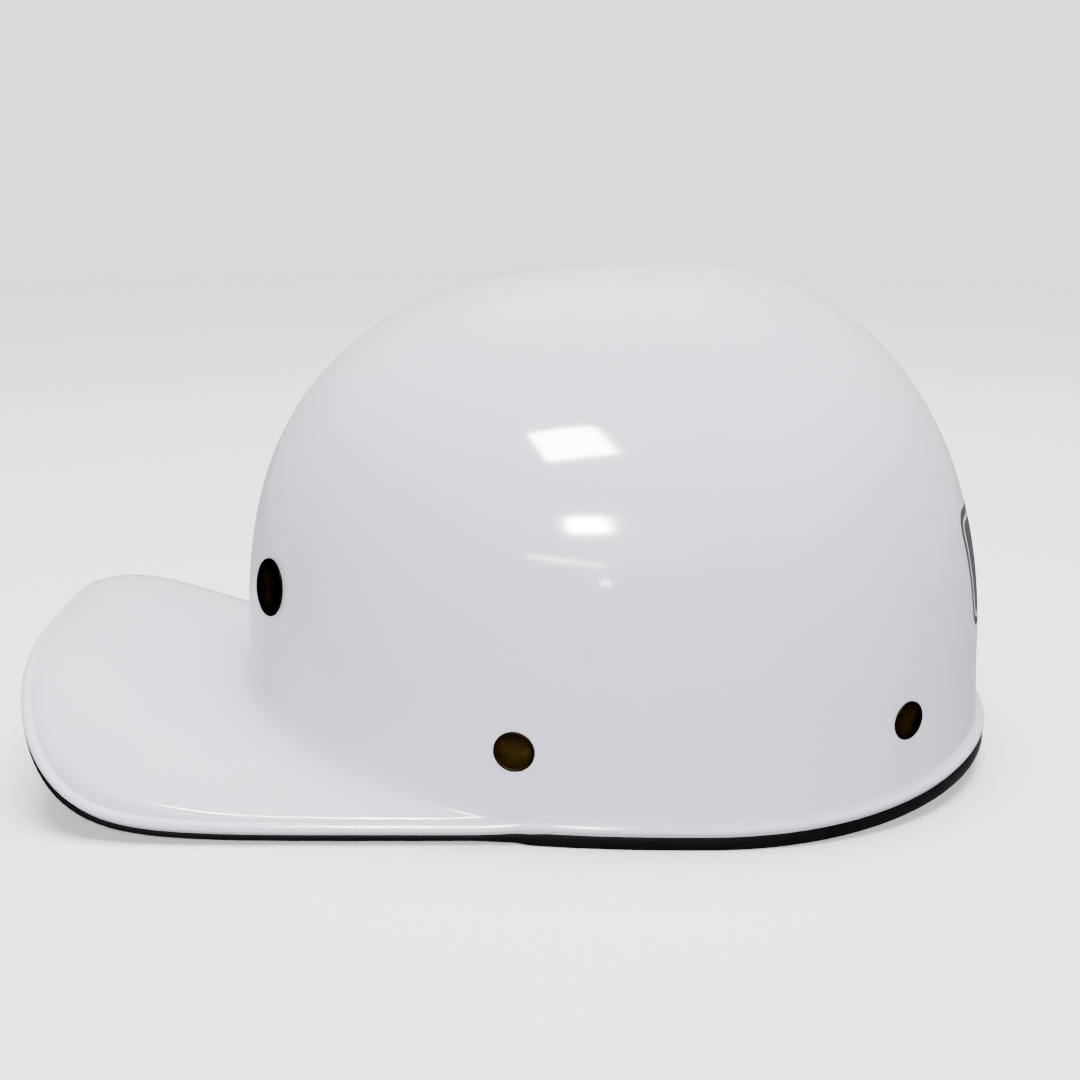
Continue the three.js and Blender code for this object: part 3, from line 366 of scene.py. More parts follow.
def shell_mesh(c):
    """The shell's closed skin, from the crown down, round the rim and up inside."""
    z = np.full(c.phi.shape, 40.0)
    for _ in range(14):
        wall = wall_point(c.phi, z)
        z = brim_rise(wall[:, 0], wall[:, 1]) + RIM_ABOVE_REST + c.lip + 1.5 * on_rim(c.phi)
    z = np.where(on_rim(c.phi) == 1, c.top + 1.5, z)
    root = wall_point(c.phi, z)
    raised = 1 - on_rim(c.phi)
    bead = BEAD_RADIUS + RAISED_BEAD * raised
    start = (10 - 70 * raised) * DEG
    bead_z = c.top - BEAD_RADIUS - RAISED_BEAD / 2 * raised
    edge = c.inward(bead - bead * np.sin(start), bead_z + bead * np.cos(start))
    width = np.hypot(edge[:, 0] - root[:, 0], edge[:, 1] - root[:, 1])
    fillet = np.minimum(BRIM["fillet"], 0.3 * width)

    def brim_top(share):
        p = root + (edge - root) * share[:, None]
        arch = brim_rise(p[:, 0], p[:, 1]) + RIM_ABOVE_REST + c.lip
        sheet = root[:, 2] + (edge[:, 2] - root[:, 2]) * share
        foot_drop = (c.top - edge[:, 2]) * raised * np.maximum(0, 1 - (1 - share) * width / 12) ** 2
        p[:, 2] = arch + (sheet - arch) * on_rim(c.phi) - foot_drop
        return p

    def underside(share):
        inner = inner_wall_point(c.phi, root[:, 2] - UNDERSIDE)
        end = c.inward(LIP_INNER, c.top - UNDERSIDE)
        p = inner + (end - inner) * share
        arch = brim_rise(p[:, 0], p[:, 1]) + RIM_ABOVE_REST + c.lip - UNDERSIDE
        if share < 1:
            p[:, 2] = arch + (p[:, 2] - arch) * on_rim(c.phi)
        return p

    upper = wall_point(c.phi, root[:, 2] + fillet)
    lower = brim_top(fillet / width)
    rise = clamp01(dome_level(c.phi, upper[:, 2]))
    shares = 1 - np.linspace(0.012, 0.985, 46)
    rows = [dome_point(c.phi, v + (1 - v) * rise) for v in shares]
    for t in np.linspace(0, 1, 9):
        rows.append((1 - t) ** 2 * upper + 2 * t * (1 - t) * root + t * t * lower)
    for k in range(1, 17):
        rows.append(brim_top(fillet / width + (1 - fillet / width) * k / 16))
    for t in np.linspace(0.1, 1, 11):
        a = start + (math.pi / 2 - start) * t
        rows.append(c.inward(bead - bead * np.sin(a), bead_z + bead * np.cos(a)))
    for a in np.linspace(20, 90, 5) * DEG:
        depth = c.top - SHOULDER - bead_z
        inset = bead - bead * math.cos(a) - RAISED_BEAD * raised * math.sin(a)
        rows.append(c.inward(inset, bead_z + depth * math.sin(a)))
    foot = c.top - SHOULDER - c.lip
    rows += [c.inward(BEAD_RADIUS, foot + 0.3), c.inward(1.9, foot)]
    rows += [c.inward(4.3, foot), c.inward(LIP_INNER, foot + 0.3)]
    rows += [underside(share) for share in (1, 0.85, 0.7, 0.55, 0.4, 0.25, 0.1)]
    rows.append(inner_wall_point(c.phi, root[:, 2] - UNDERSIDE))
    for v in shares[::-2]:
        level = v + (1 - v) * rise
        rows.append(dome_point(c.phi, level) - DOME["thickness"] * dome_normal(c.phi, level))
    count = len(c.phi)
    points = np.concatenate(rows)
    faces = grid_faces(len(rows), count)
    crown = len(points)
    poles = [[0, DOME["crown_y"], DOME["height"]], [0, DOME["crown_y"], DOME["height"] - DOME["thickness"]]]
    last = crown - count
    for i in range(count):
        j = (i + 1) % count
        faces += [(crown, j, i), (last + i, last + j, crown + 1)]
    return np.concatenate([points, poles]), faces


def trim_mesh(c):
    """The rubber channel round the lip, with its corners rounded."""
    foot, web = c.rest, c.rest + 0.7
    outer_top, inner_top = c.top - 3.6, c.top - UNDERSIDE - 0.8
    ring = [
        (0.2, foot + 0.5), (0.2, outer_top - 0.15), (0.35, outer_top), (0.95, outer_top),
        (1.1, outer_top - 0.15), (1.1, web), (5.2, web), (5.2, inner_top - 0.15),
        (5.35, inner_top), (6.25, inner_top), (6.4, inner_top - 0.15), (6.4, foot + 0.5),
        (6.25, foot + 0.15), (5.9, foot), (0.7, foot), (0.35, foot + 0.15),
    ]
    rings = np.stack([c.inward(d, z) for d, z in ring], 1)
    rows, count = rings.shape[:2]
    faces = grid_faces(rows, count)
    last = (rows - 1) * count
    faces += [(last + i, last + (i + 1) % count, (i + 1) % count, i) for i in range(count)]
    return rings.reshape(-1, 3), faces


# ---------------------------------------------------------------- flat straps and pads

SECTION = [(1, 0.45), (0.985, 0.85), (0.93, 1), (0.5, 1), (0, 1), (-0.5, 1), (-0.93, 1)]
SECTION += [(-0.985, 0.85), (-1, 0.45)]
SECTION += [(u, -v) for u, v in reversed(SECTION)]


def ribbon(name, centre, wide, width, thickness):
    """Webbing along a centre line, with rounded edges and its weave's place kept in lay."""
    centre, wide = np.asarray(centre, float), unit(np.asarray(wide, float))
    along = unit(np.gradient(centre, axis=0))
    thin = unit(np.cross(along, wide))
    run = np.concatenate([[0], np.cumsum(np.linalg.norm(np.diff(centre, axis=0), axis=1))])
    rings = [centre + wide * (u * width / 2) + thin * (v * thickness / 2) for u, v in SECTION]
    points, faces = loft(np.stack(rings, 1))
    lay = [(u * width / 2, s, v) for s in run for u, v in SECTION]
    return new_object(name, placed(points), faces, 50, lay)


def bezier(controls, count):
    a, b, c, d = (np.asarray(p, float) for p in controls)
    t = np.linspace(0, 1, count)[:, None]
    return (1 - t) ** 3 * a + 3 * t * (1 - t) ** 2 * b + 3 * t * t * (1 - t) * c + t**3 * d


def strap_foot(place, side):
    """Where a crown strap lies on its hanger: the tail's end, its top and the way inward."""
    phi, _, _ = RIVETS[place]
    top = HANGER_TOP[place]
    level = dome_level(phi, np.array([top - 10.0, top]))
    ends = dome_point(phi, level) - 7.6 * dome_normal(phi, level)
    inward = -unit(dome_normal(phi, level[1]) * [1, 1, 0])
    flip = np.array([side, 1, 1])
    return ends[0] * flip, ends[1] * flip, inward * flip


def strap_half(foot, crown, outward, steps=26):
    low, high, inward = foot
    span = math.hypot(crown[0] - high[0], crown[1] - high[1])
    flat = np.array([1, 1, 0])
    ends = high * flat, high * flat + inward * span / 3, crown * flat + outward * span / 3, crown * flat
    plan = resample(bezier(ends, 400), 401)
    across = np.array([-inward[1], inward[0], 0])
    centre = [low + (high - low) * t for t in (0, 0.34, 0.67)]
    wide = [across] * 3
    for i in range(steps):
        turn = i / steps * math.pi / 2
        share = (1 - math.cos(turn) ** STRAP_ARC) * 400
        k = min(int(share), 399)
        point = plan[k] + (plan[k + 1] - plan[k]) * (share - k)
        point[2] = high[2] + (crown[2] - high[2]) * math.sin(turn) ** STRAP_ARC
        heading = unit(plan[k + 1] - plan[k])
        centre.append(point)
        wide.append(np.array([-heading[1], heading[0], 0]))
    return centre, wide


def crown_strap(name, start, end, layer):
    crown = CROWN + [0, 0, 2 * layer]
    heading = unit((end[1] - start[1]) * [1, 1, 0])
    rise, rise_wide = strap_half(start, crown, -heading)
    fall, fall_wide = strap_half(end, crown, heading)
    centre = rise + [crown] + fall[::-1]
    wide = rise_wide + [np.array([-heading[1], heading[0], 0])] + [-w for w in fall_wide[::-1]]
    return ribbon(name, centre, wide, 16, 1.2)


def route_curve(points, count):
    """A centripetal Catmull-Rom curve through points, spaced evenly."""
    points = np.asarray(points, float)
    points = np.concatenate([[2 * points[0] - points[1]], points, [2 * points[-1] - points[-2]]])
    fine = []
    for a, b, c, d in zip(points, points[1:], points[2:], points[3:]):
        t0 = 0
        t1 = t0 + np.linalg.norm(b - a) ** 0.5
        t2 = t1 + np.linalg.norm(c - b) ** 0.5
        t3 = t2 + np.linalg.norm(d - c) ** 0.5
        t = np.linspace(t1, t2, 40)[:, None]
        ab = (t1 - t) / (t1 - t0) * a + (t - t0) / (t1 - t0) * b
        bc = (t2 - t) / (t2 - t1) * b + (t - t1) / (t2 - t1) * c
        cd = (t3 - t) / (t3 - t2) * c + (t - t2) / (t3 - t2) * d
        abc = (t2 - t) / (t2 - t0) * ab + (t - t0) / (t2 - t0) * bc
        bcd = (t3 - t) / (t3 - t1) * bc + (t - t1) / (t3 - t1) * cd
        fine.append((t2 - t) / (t2 - t1) * abc + (t - t1) / (t2 - t1) * bcd)
    return resample(np.concatenate(fine), count)


def chin_webbing(name, route, count):
    centre = route_curve(route, count)
    along = unit(np.gradient(centre, axis=0))
    thin = unit(np.cross(along, [0, 0, 1]))
    return ribbon(name, centre, np.cross(thin, along), 15, 1.4)


def chin_routes():
    link = [92.4, CHIN_Y + 12, CHIN_Z]
    behind = []
    for angle in (112, 128, 144, 162, 180):
        edge = rim_edge(angle * DEG)
        share = ease((edge[1] - 40) / 90)
        inward = unit(dome_normal(angle * DEG, -0.8) * [1, 1, 0])
        point = edge - 9.4 * inward
        behind.append([point[0], point[1], CHIN_Z - 3.6 * share])
    mirror = lambda p: [-p[0], p[1], p[2]]
    short = [link, [93, -8, CHIN_Z], [93, 1.7, CHIN_Z]]
    right = [mirror(p) for p in behind[-2::-1]]
    end = [[-93, 42, CHIN_Z], [-93, 0, CHIN_Z], mirror(link)]
    return short, [[93, 42.3, CHIN_Z], [93, 50, CHIN_Z]] + behind + right + end


def oval_band(name, section, steps, half_turn, sharp=SHARP):
    """A standing band along the headband's oval. section(angle) gives (offset, z) points."""
    rings, lay = [], []
    for i in range(steps + 1):
        angle = half_turn * (2 * i / steps - 1)
        ring = section(angle)
        for offset, z in ring:
            lay.append((z, angle * 90, offset))
        rings.append([
            (
                (BAND["half_width"] + offset) * math.sin(angle),
                BAND["centre_y"] - (BAND["half_length"] + offset) * math.cos(angle),
                z,
            )
            for offset, z in ring
        ])
    points, faces = loft(rings)
    return new_object(name, placed(points), faces, sharp, lay)


def headband_section(_angle):
    outer, inner, dip = 0.8, -0.8, 0.5
    side = [(outer, 22.5), (outer, 28), (dip, 28.5), (dip, 45.5), (outer, 46), (outer, 51.5)]
    return [(0.5, 22)] + side + [(0.5, 52), (-0.5, 52), (inner, 51.5), (inner, 22.5), (-0.5, 22)]


def sweatband_section(angle):
    """Foam in a sewn cover: flat on the headband, crowned to the head between its channels."""
    channel = 1 - 0.55 * max(0, 1 - abs(math.sin(angle * 15)) / 0.35) ** 2
    ring = [(-1.3, 20.9), (-1.15, 22.5), (-1.1, 26), (-1.1, 44), (-1.15, 47.5), (-1.3, 49.1)]
    ring += [(-1.9, 49.9), (-2.7, 49.6), (-2.9, 48.7), (-2.6, 47.9)]
    for k in range(11):
        t = k / 10
        bulge = math.sin(math.pi * t) ** 0.55 * channel
        ring.append((-2.6 - 2.5 * bulge, 47.6 - 25.2 * t))
    return ring + [(-2.6, 22.1), (-2.9, 21.3), (-2.7, 20.4), (-1.9, 20.1)]


def crown_pad():
    """A round quilted pad: two skins sewn at the rim, drawn in along six channels and a ring."""
    rings_count, turns = 22, 144
    points, lay, faces = [], [], []
    radius, middle = 30, 127.2
    for face, depth in ((1, 2.3), (-1, 2.7)):
        base = len(points)
        for k in range(1, rings_count + 1):
            share = k / rings_count
            for i in range(turns):
                angle = 2 * math.pi * i / turns
                crown = max(0, 1 - share**5) ** 0.5
                spoke = max(0, 1 - abs(math.sin(3 * angle)) * share * radius / 3.2) ** 2 * (share > 0.06)
                hoop = max(0, 1 - abs(share - 0.42) * radius / 1.8) ** 2
                sewn = 1 - 0.5 * max(spoke, hoop) * (face < 0)
                z = middle + face * (0.25 + (depth - 0.25) * crown * sewn)
                x, y = radius * share * math.cos(angle), CROWN[1] + radius * share * math.sin(angle)
                points.append((x, y, z))
                lay.append((x, y, 0))
        faces += [tuple(base + v for v in f) for f in grid_faces(rings_count, turns)]
        pole = len(points)
        points.append((0, CROWN[1], middle + face * depth))
        lay.append((0, CROWN[1], 0))
        faces += [(pole, base + i, base + (i + 1) % turns) for i in range(turns)]
    top, bottom = (rings_count - 1) * turns, rings_count * turns + 1 + (rings_count - 1) * turns
    faces += [(top + i, top + (i + 1) % turns, bottom + (i + 1) % turns, bottom + i) for i in range(turns)]
    return new_object("crown_pad_look", placed(points), faces, 60, lay)


def rounded_outline(half_width, half_height, corner, steps=14):
    """Points of a rounded rectangle in X and Z, anticlockwise."""
    outline = []
    for k, (sx, sz) in enumerate([(1, 1), (-1, 1), (-1, -1), (1, -1)]):
        for i in range(steps + 1):
            a = (k + i / steps) * math.pi / 2
            x = sx * (half_width - corner) + corner * math.cos(a)
            z = sz * (half_height - corner) + corner * math.sin(a)
            outline.append((x, z))
    return outline


def nape_pad():
    """A foam pad with a piped edge: flat on the housing and crowned toward the neck."""
    profile = [(0.9, 98.7), (0.3, 98.4), (0, 97.6), (0.2, 96.9), (0.9, 96.6), (1.5, 96.9), (1.9, 96.6)]
    profile += [(1.9 + 8 * t, 96.5 - 2.9 * math.sin(t * math.pi / 2) ** 0.7) for t in np.linspace(0.06, 1, 9)]
    rings, lay = [], []
    for inset, y in [(6, 98.8)] + profile:
        corner = max(10 - inset, 1.5)
        outline = rounded_outline(29 - inset, 13 - inset, corner)
        rings.append([(x, y, PIVOT_Z + z) for x, z in outline])
        lay += [(x, z, 0) for x, z in outline]
    points, faces = loft(rings)
    return new_object("nape_pad_look", placed(points), faces, 60, lay)


def knob():
    """The ratchet's knob: scalloped grip, rounded edges and a dished face."""
    outline = [(1.4, 109.4), (0.3, 109.7), (0, 110.5), (0, 115.6), (0.35, 116.7), (1.3, 117.35), (2.6, 117.4)]
    outline += [(3.4, 117.1), (4.2, 116.4), (8, 116.15)]
    points = []
    turns = 224
    for inset, y in outline:
        for i in range(turns):
            a = 2 * math.pi * i / turns
            lobe = 0.9 * math.cos(14 * a) * max(0, 1 - inset / 3)
            r = 13.2 - inset + lobe
            points.append((r * math.cos(a), y, PIVOT_Z + r * math.sin(a)))
    faces = grid_faces(len(outline), turns)
    faces.append(tuple(range(turns)))
    faces.append(tuple((len(outline) - 1) * turns + i for i in range(turns)))
    return new_object("ratchet_knob_look", placed(points), faces, 35)


# ---------------------------------------------------------------- materials

def make(tree, kind, inputs=None, **settings):
    """Adds a shader node. An input is a constant, or a socket to link."""
    node = tree.nodes.new("ShaderNode" + kind)
    for key, value in settings.items():
        setattr(node, key, value)
    for key, value in (inputs or {}).items():
        if isinstance(value, bpy.types.NodeSocket):
            tree.links.new(value, node.inputs[key])
        else:
            node.inputs[key].default_value = value
    return node


def maths(tree, operation, *values):
    node = make(tree, "Math", dict(enumerate(values)), operation=operation)
    return node.outputs[0]


def noise(tree, vector, scale, detail=3, rough=0.5):
    inputs = {"Vector": vector, "Scale": scale, "Detail": detail, "Roughness": rough}
    return make(tree, "TexNoise", inputs).outputs["Fac"]


def spread(tree, value, low, high, start=0.3, end=0.7):
    """Stretches a value's start to end over low to high."""
    inputs = {"Value": value, "From Min": start, "From Max": end, "To Min": low, "To Max": high}
    return make(tree, "MapRange", inputs, clamp=True).outputs[0]


def mix_colour(tree, factor, first, second):
    node = make(tree, "Mix", data_type="RGBA")
    for socket, value in zip((node.inputs[0], node.inputs[6], node.inputs[7]), (factor, first, second)):
        if isinstance(value, bpy.types.NodeSocket):
            tree.links.new(value, socket)
        else:
            socket.default_value = value
    return node.outputs[2]


def bump(tree, height, strength, distance, normal=None):
    inputs = {"Height": height, "Strength": strength, "Distance": distance}
    if normal is not None:
        inputs["Normal"] = normal
    return make(tree, "Bump", inputs).outputs[0]


def surface(name, **fixed):
    """A material with its own shader's fixed values set; returns it with its tree and shader."""
    material = bpy.data.materials.new(name)
    material.use_nodes = True
    tree = material.node_tree
    shader = tree.nodes["Principled BSDF"]
    for key, value in fixed.items():
        shader.inputs[key.replace("_", " ")].default_value = value
    return material, tree, shader


def feed(tree, shader, **sockets):
    for key, value in sockets.items():
        tree.links.new(value, shader.inputs[key.replace("_", " ")])


def object_place(tree):
    return make(tree, "TexCoord").outputs["Object"]


def box_distance(tree, x, z, half_x, half_z, corner):
    """Signed distance in metres to a rounded rectangle."""
    qx = maths(tree, "SUBTRACT", maths(tree, "ABSOLUTE", x), half_x - corner)
    qz = maths(tree, "SUBTRACT", maths(tree, "ABSOLUTE", z), half_z - corner)
    ox, oz = maths(tree, "MAXIMUM", qx, 0.0), maths(tree, "MAXIMUM", qz, 0.0)
    squares = maths(tree, "ADD", maths(tree, "MULTIPLY", ox, ox), maths(tree, "MULTIPLY", oz, oz))
    inside = maths(tree, "MINIMUM", maths(tree, "MAXIMUM", qx, qz), 0.0)
    return maths(tree, "SUBTRACT", maths(tree, "ADD", maths(tree, "SQRT", squares), inside), corner)


def shell_material():
    """Polished white plastic with a slight orange peel, and a plain black patch at the back."""
    material, tree, shader = surface("shell_gloss", IOR=1.46)
    place = object_place(tree)
    tint = spread(tree, noise(tree, place, 14, 4), 0, 1)
    white = mix_colour(tree, tint, (0.565, 0.535, 0.64, 1), (0.595, 0.565, 0.665, 1))
    speck = spread(tree, noise(tree, place, 900, 2), 0, 1, 0.66, 0.74)
    white = mix_colour(tree, maths(tree, "MULTIPLY", speck, 0.10), white, (0.52, 0.51, 0.54, 1))
    part = make(tree, "SeparateXYZ", {"Vector": place})
    x, y, z = part.outputs
    height = maths(tree, "SUBTRACT", z, MARK["height"])
    outer = box_distance(tree, x, height, MARK["half_width"], MARK["half_height"], MARK["corner"])
    patch = spread(tree, outer, 1, 0, -0.00012, 0.00012)
    inline = maths(tree, "ABSOLUTE", maths(tree, "ADD", outer, MARK["inline"]))
    patch = maths(tree, "MULTIPLY", patch, spread(tree, inline, 0, 1, 0.0005, 0.0007))
    patch = maths(tree, "MULTIPLY", patch, maths(tree, "GREATER_THAN", y, 0.05))
    outward = make(tree, "SeparateXYZ", {"Vector": make(tree, "TexCoord").outputs["Normal"]}).outputs["Y"]
    patch = maths(tree, "MULTIPLY", patch, maths(tree, "GREATER_THAN", outward, 0.0))
    colour = mix_colour(tree, patch, white, (0.012, 0.012, 0.014, 1))
    haze = spread(tree, noise(tree, place, 38, 5, 0.6), 0.055, 0.10)
    scuff_place = make(tree, "Mapping", {"Vector": place, "Scale": (1, 1, 9)}).outputs[0]
    scuff = spread(tree, noise(tree, scuff_place, 55, 6, 0.7), 0, 0.08, 0.63, 0.72)
    peel = bump(tree, noise(tree, place, 260, 2), 0.05, 0.00012)
    ink = bump(tree, patch, 0.25, 0.00003, peel)
    rough = maths(tree, "ADD", maths(tree, "ADD", haze, scuff), maths(tree, "MULTIPLY", patch, 0.7))
    feed(tree, shader, Base_Color=colour, Roughness=rough, Normal=ink)
    return material


def moulded_material(name, dark, light, rough, grain=1500, strength=0.25, **fixed):
    """Moulded plastic or rubber: fine grain, cloudy colour and a little wear."""
    material, tree, shader = surface(name, **fixed)
    place = object_place(tree)
    cloud = spread(tree, noise(tree, place, 45, 4), 0, 1)
    fine = noise(tree, place, grain, 3, 0.6)
    colour = mix_colour(tree, cloud, dark, light)
    rub = spread(tree, noise(tree, place, 160, 5, 0.65), 0, 0.35, 0.60, 0.76)
    colour = mix_colour(tree, rub, colour, tuple(2.4 * c for c in light[:3]) + (1,))
    normal = bump(tree, fine, strength, 0.00015)
    feed(tree, shader, Base_Color=colour, Roughness=spread(tree, cloud, rough - 0.06, rough + 0.08, 0, 1),
         Normal=normal)
    return material


def brass_material():
    """Antique brass with a spun face: dark at the rim and gold-brown rays toward the centre, the gold partly
    painted highlight, and the whole far darker than brass, as patina and as painted shade for the dark room
    it mirrors.
    """
    fixed = dict(Metallic=1.0, Anisotropic=0.75, Specular_Tint=(0.10, 0.07, 0.03, 1))
    material, tree, shader = surface("antique_brass_with_painted_light", **fixed)
    place = object_place(tree)
    flat = make(tree, "VectorMath", {0: place, 1: (1, 1, 0)}, operation="MULTIPLY").outputs[0]
    reach = make(tree, "VectorMath", {0: flat}, operation="LENGTH").outputs["Value"]
    facing = make(tree, "VectorMath", {0: flat}, operation="NORMALIZE").outputs[0]
    rays = noise(tree, facing, 7, 5, 0.75)
    spun = make(tree, "CombineXYZ", {"X": maths(tree, "MULTIPLY", reach, 2600.0)}).outputs[0]
    grooves = noise(tree, spun, 2.2, 3, 0.6)
    centre = spread(tree, reach, 1, 0, 0.0025, 0.0072)
    # The gold-brown centre and its rays are partly painted highlight, standing for the spun face's glints.
    gold_and_painted_glints = maths(tree, "MULTIPLY", centre, spread(tree, rays, 0.35, 1, 0.35, 0.65))
    # Both colours sit far below real brass: patina, and painted shade for the dark room the rivets mirror.
    colour = mix_colour(tree, gold_and_painted_glints, (0.004, 0.0026, 0.0016, 1), (0.040, 0.023, 0.004, 1))
    blotch = spread(tree, noise(tree, place, 620, 4), 0, 0.55, 0.50, 0.72)
    colour = mix_colour(tree, blotch, colour, (0.005, 0.0035, 0.0025, 1))
    tangent = make(tree, "Tangent", direction_type="RADIAL", axis="Z").outputs[0]
    normal = bump(tree, grooves, 0.35, 0.00006)
    feed(tree, shader, Base_Color=colour, Roughness=spread(tree, rays, 0.26, 0.42), Normal=normal,
         Tangent=tangent)
    return material


def steel_material():
    material, tree, shader = surface("zinc_steel", Metallic=1.0)
    place = object_place(tree)
    streak = make(tree, "Mapping", {"Vector": place, "Scale": (1, 9, 1)}).outputs[0]
    brushed = noise(tree, streak, 420, 4, 0.6)
    colour = mix_colour(tree, spread(tree, brushed, 0, 1), (0.40, 0.405, 0.41, 1), (0.60, 0.605, 0.60, 1))
    feed(tree, shader, Base_Color=colour, Roughness=spread(tree, brushed, 0.28, 0.45),
         Normal=bump(tree, brushed, 0.2, 0.00008))
    return material


def woven_material(name, dark, light, across_pitch, along_pitch, edge=None):
    """Webbing or cover cloth: yarns over and under, their hollows darkened as painted shade, a selvedge and
    rows of stitches.
    """
    material, tree, shader = surface(name, Sheen_Weight=0.25, Sheen_Roughness=0.45, Roughness=0.85)
    lay = make(tree, "Attribute", attribute_name="lay", attribute_type="GEOMETRY").outputs["Vector"]
    place = object_place(tree)
    part = make(tree, "SeparateXYZ", {"Vector": lay})
    across, along = part.outputs[0], part.outputs[1]
    u = maths(tree, "SINE", maths(tree, "MULTIPLY", across, 2 * math.pi / across_pitch))
    slant = maths(tree, "ADD", maths(tree, "MULTIPLY", along, 2 * math.pi / along_pitch),
                  maths(tree, "MULTIPLY", across, math.pi / across_pitch))
    v = maths(tree, "SINE", slant)
    yarn = maths(tree, "MULTIPLY", u, v)
    fuzz = noise(tree, place, 2600, 3, 0.7)
    height = maths(tree, "ADD", yarn, maths(tree, "MULTIPLY", fuzz, 0.8))
    # Yarn tops lighter and the hollows between them darker, as painted shade in the weave, with random fuzz
    # on top.
    colour = mix_colour(tree, spread(tree, height, 0, 1, -0.8, 1.4), dark, light)
    colour = mix_colour(tree, spread(tree, noise(tree, place, 60, 4), 0, 0.3), colour, dark)
    if edge:
        off = maths(tree, "ABSOLUTE", maths(tree, "SUBTRACT", maths(tree, "ABSOLUTE", across), edge))
        row = spread(tree, off, 1, 0, 0.25, 0.45)
        dash = maths(tree, "GREATER_THAN", maths(tree, "SINE", maths(tree, "MULTIPLY", along, 2.6)), -0.35)
        stitch = maths(tree, "MULTIPLY", row, dash)
        colour = mix_colour(tree, stitch, colour, tuple(min(1, 3.2 * c) for c in light[:3]) + (1,))
        height = maths(tree, "ADD", height, maths(tree, "MULTIPLY", stitch, 1.5))
    feed(tree, shader, Base_Color=colour, Normal=bump(tree, height, 0.7, 0.00022))
    return material


MATERIALS = {
    "shell": shell_material(),
    # The edge trim: black rubber, made far darker than real rubber as painted shade under the rim.
    "trim": moulded_material(
        "edge_rubber_and_painted_shade", (0.0008, 0.0008, 0.0009, 1), (0.0015, 0.0015, 0.0016, 1), 0.5, 900,
        Specular_IOR_Level=0.05
    ),
    "brass": brass_material(),
    "steel": steel_material(),
    "plastic": moulded_material("black_nylon", (0.020, 0.021, 0.023, 1), (0.032, 0.033, 0.036, 1), 0.42),
    "clear": moulded_material("grey_nylon", (0.10, 0.105, 0.11, 1), (0.14, 0.145, 0.15, 1), 0.4),
    "webbing": woven_material(
        "strap_weave", (0.010, 0.011, 0.013, 1), (0.045, 0.047, 0.054, 1), 1.5, 1.1, 6.1
    ),
    "cover": woven_material("pad_cloth", (0.016, 0.017, 0.020, 1), (0.060, 0.062, 0.070, 1), 0.9, 0.9),
}


# ---------------------------------------------------------------- the shell, its trim and rivets

columns = Columns()
points, faces = shell_mesh(columns)
settle(new_object("shell_look", placed(points), faces, 50), "shell", MATERIALS["shell"])
points, faces = trim_mesh(columns)
settle(new_object("edge_trim_look", placed(points), faces, 50), "edge_trim", MATERIALS["trim"])


def rivet_profile(r):
    """A spun cap with a rolled rim and a shallow groove inside it, its shank and peened tail."""
    cap = [(r - 0.3, 0.2), (r - 0.08, 0.28), (r, 0.45), (r, 0.6), (r - 0.12, 0.82)]
    cap += [(r - 0.4, 0.95), (r - 0.75, 0.88), (r - 0.95, 0.72), (r - 1.2, 0.7), (r - 1.45, 0.8)]
    for share in np.linspace(0.06, 0.96, 12):
        reach = (r - 1.45) * (1 - share)
        cap.append((reach, 0.8 + 0.5 * math.sin(share * math.pi / 2) ** 1.1))
    tail = [(0, -9.7), (2.4, -9.65), (3.3, -9.5), (3.6, -9.2), (3.6, -8.65), (2.4, -8.3)]
    return tail + [(2.4, 0.1), (2.5, 0.2)] + cap + [(0, 1.3)]


WASHER = [(2.8, 0.15), (2.95, 0), (5.3, 0), (5.5, 0.2), (5.5, 0.8), (5.3, 1), (2.95, 1), (2.8, 0.85)]
WASHER.append(WASHER[0])

for place, (phi, z, radius) in RIVETS.items():
    level = dome_level(phi, np.array(float(z)))
    seat, normal = dome_point(phi, level), dome_normal(phi, level)
    for hand, flip in (("left", [1, 1, 1]), ("right", [-1, 1, 1])):
        point, out = seat * flip, normal * flip
        name = f"{place}_{hand}"
        cap = turned(f"rivet_{name}_look", rivet_profile(radius), point, out, 72, 30)
        settle(cap, f"rivet_{name}", MATERIALS["brass"])
        washer = turned(f"washer_{name}_look", WASHER, point - 8 * out, out, 40)
        settle(washer, f"washer_{name}", MATERIALS["steel"])
        hanger = from_cad(f"hanger_{name}", 0.35)
        settle(hanger, f"hanger_{name}", MATERIALS["plastic"])


# ---------------------------------------------------------------- the suspension

straps = {
    "crown_strap_side": (strap_foot("side", 1), strap_foot("side", -1), 0),
    "crown_strap_left": (strap_foot("front", 1), strap_foot("rear", -1), 1),
    "crown_strap_right": (strap_foot("front", -1), strap_foot("rear", 1), 2),
}
for name, (start, end, layer) in straps.items():
    settle(crown_strap(name + "_look", start, end, layer), name, MATERIALS["webbing"])

crown = crown_pad()
settle(crown, "crown_pad", MATERIALS["cover"])
band = oval_band("headband_look", headband_section, 150, 105 * DEG)
settle(band, "headband", MATERIALS["clear"])
sweat = oval_band("sweatband_look", sweatband_section, 220, 84 * DEG, 60)
settle(sweat, "sweatband", MATERIALS["cover"])

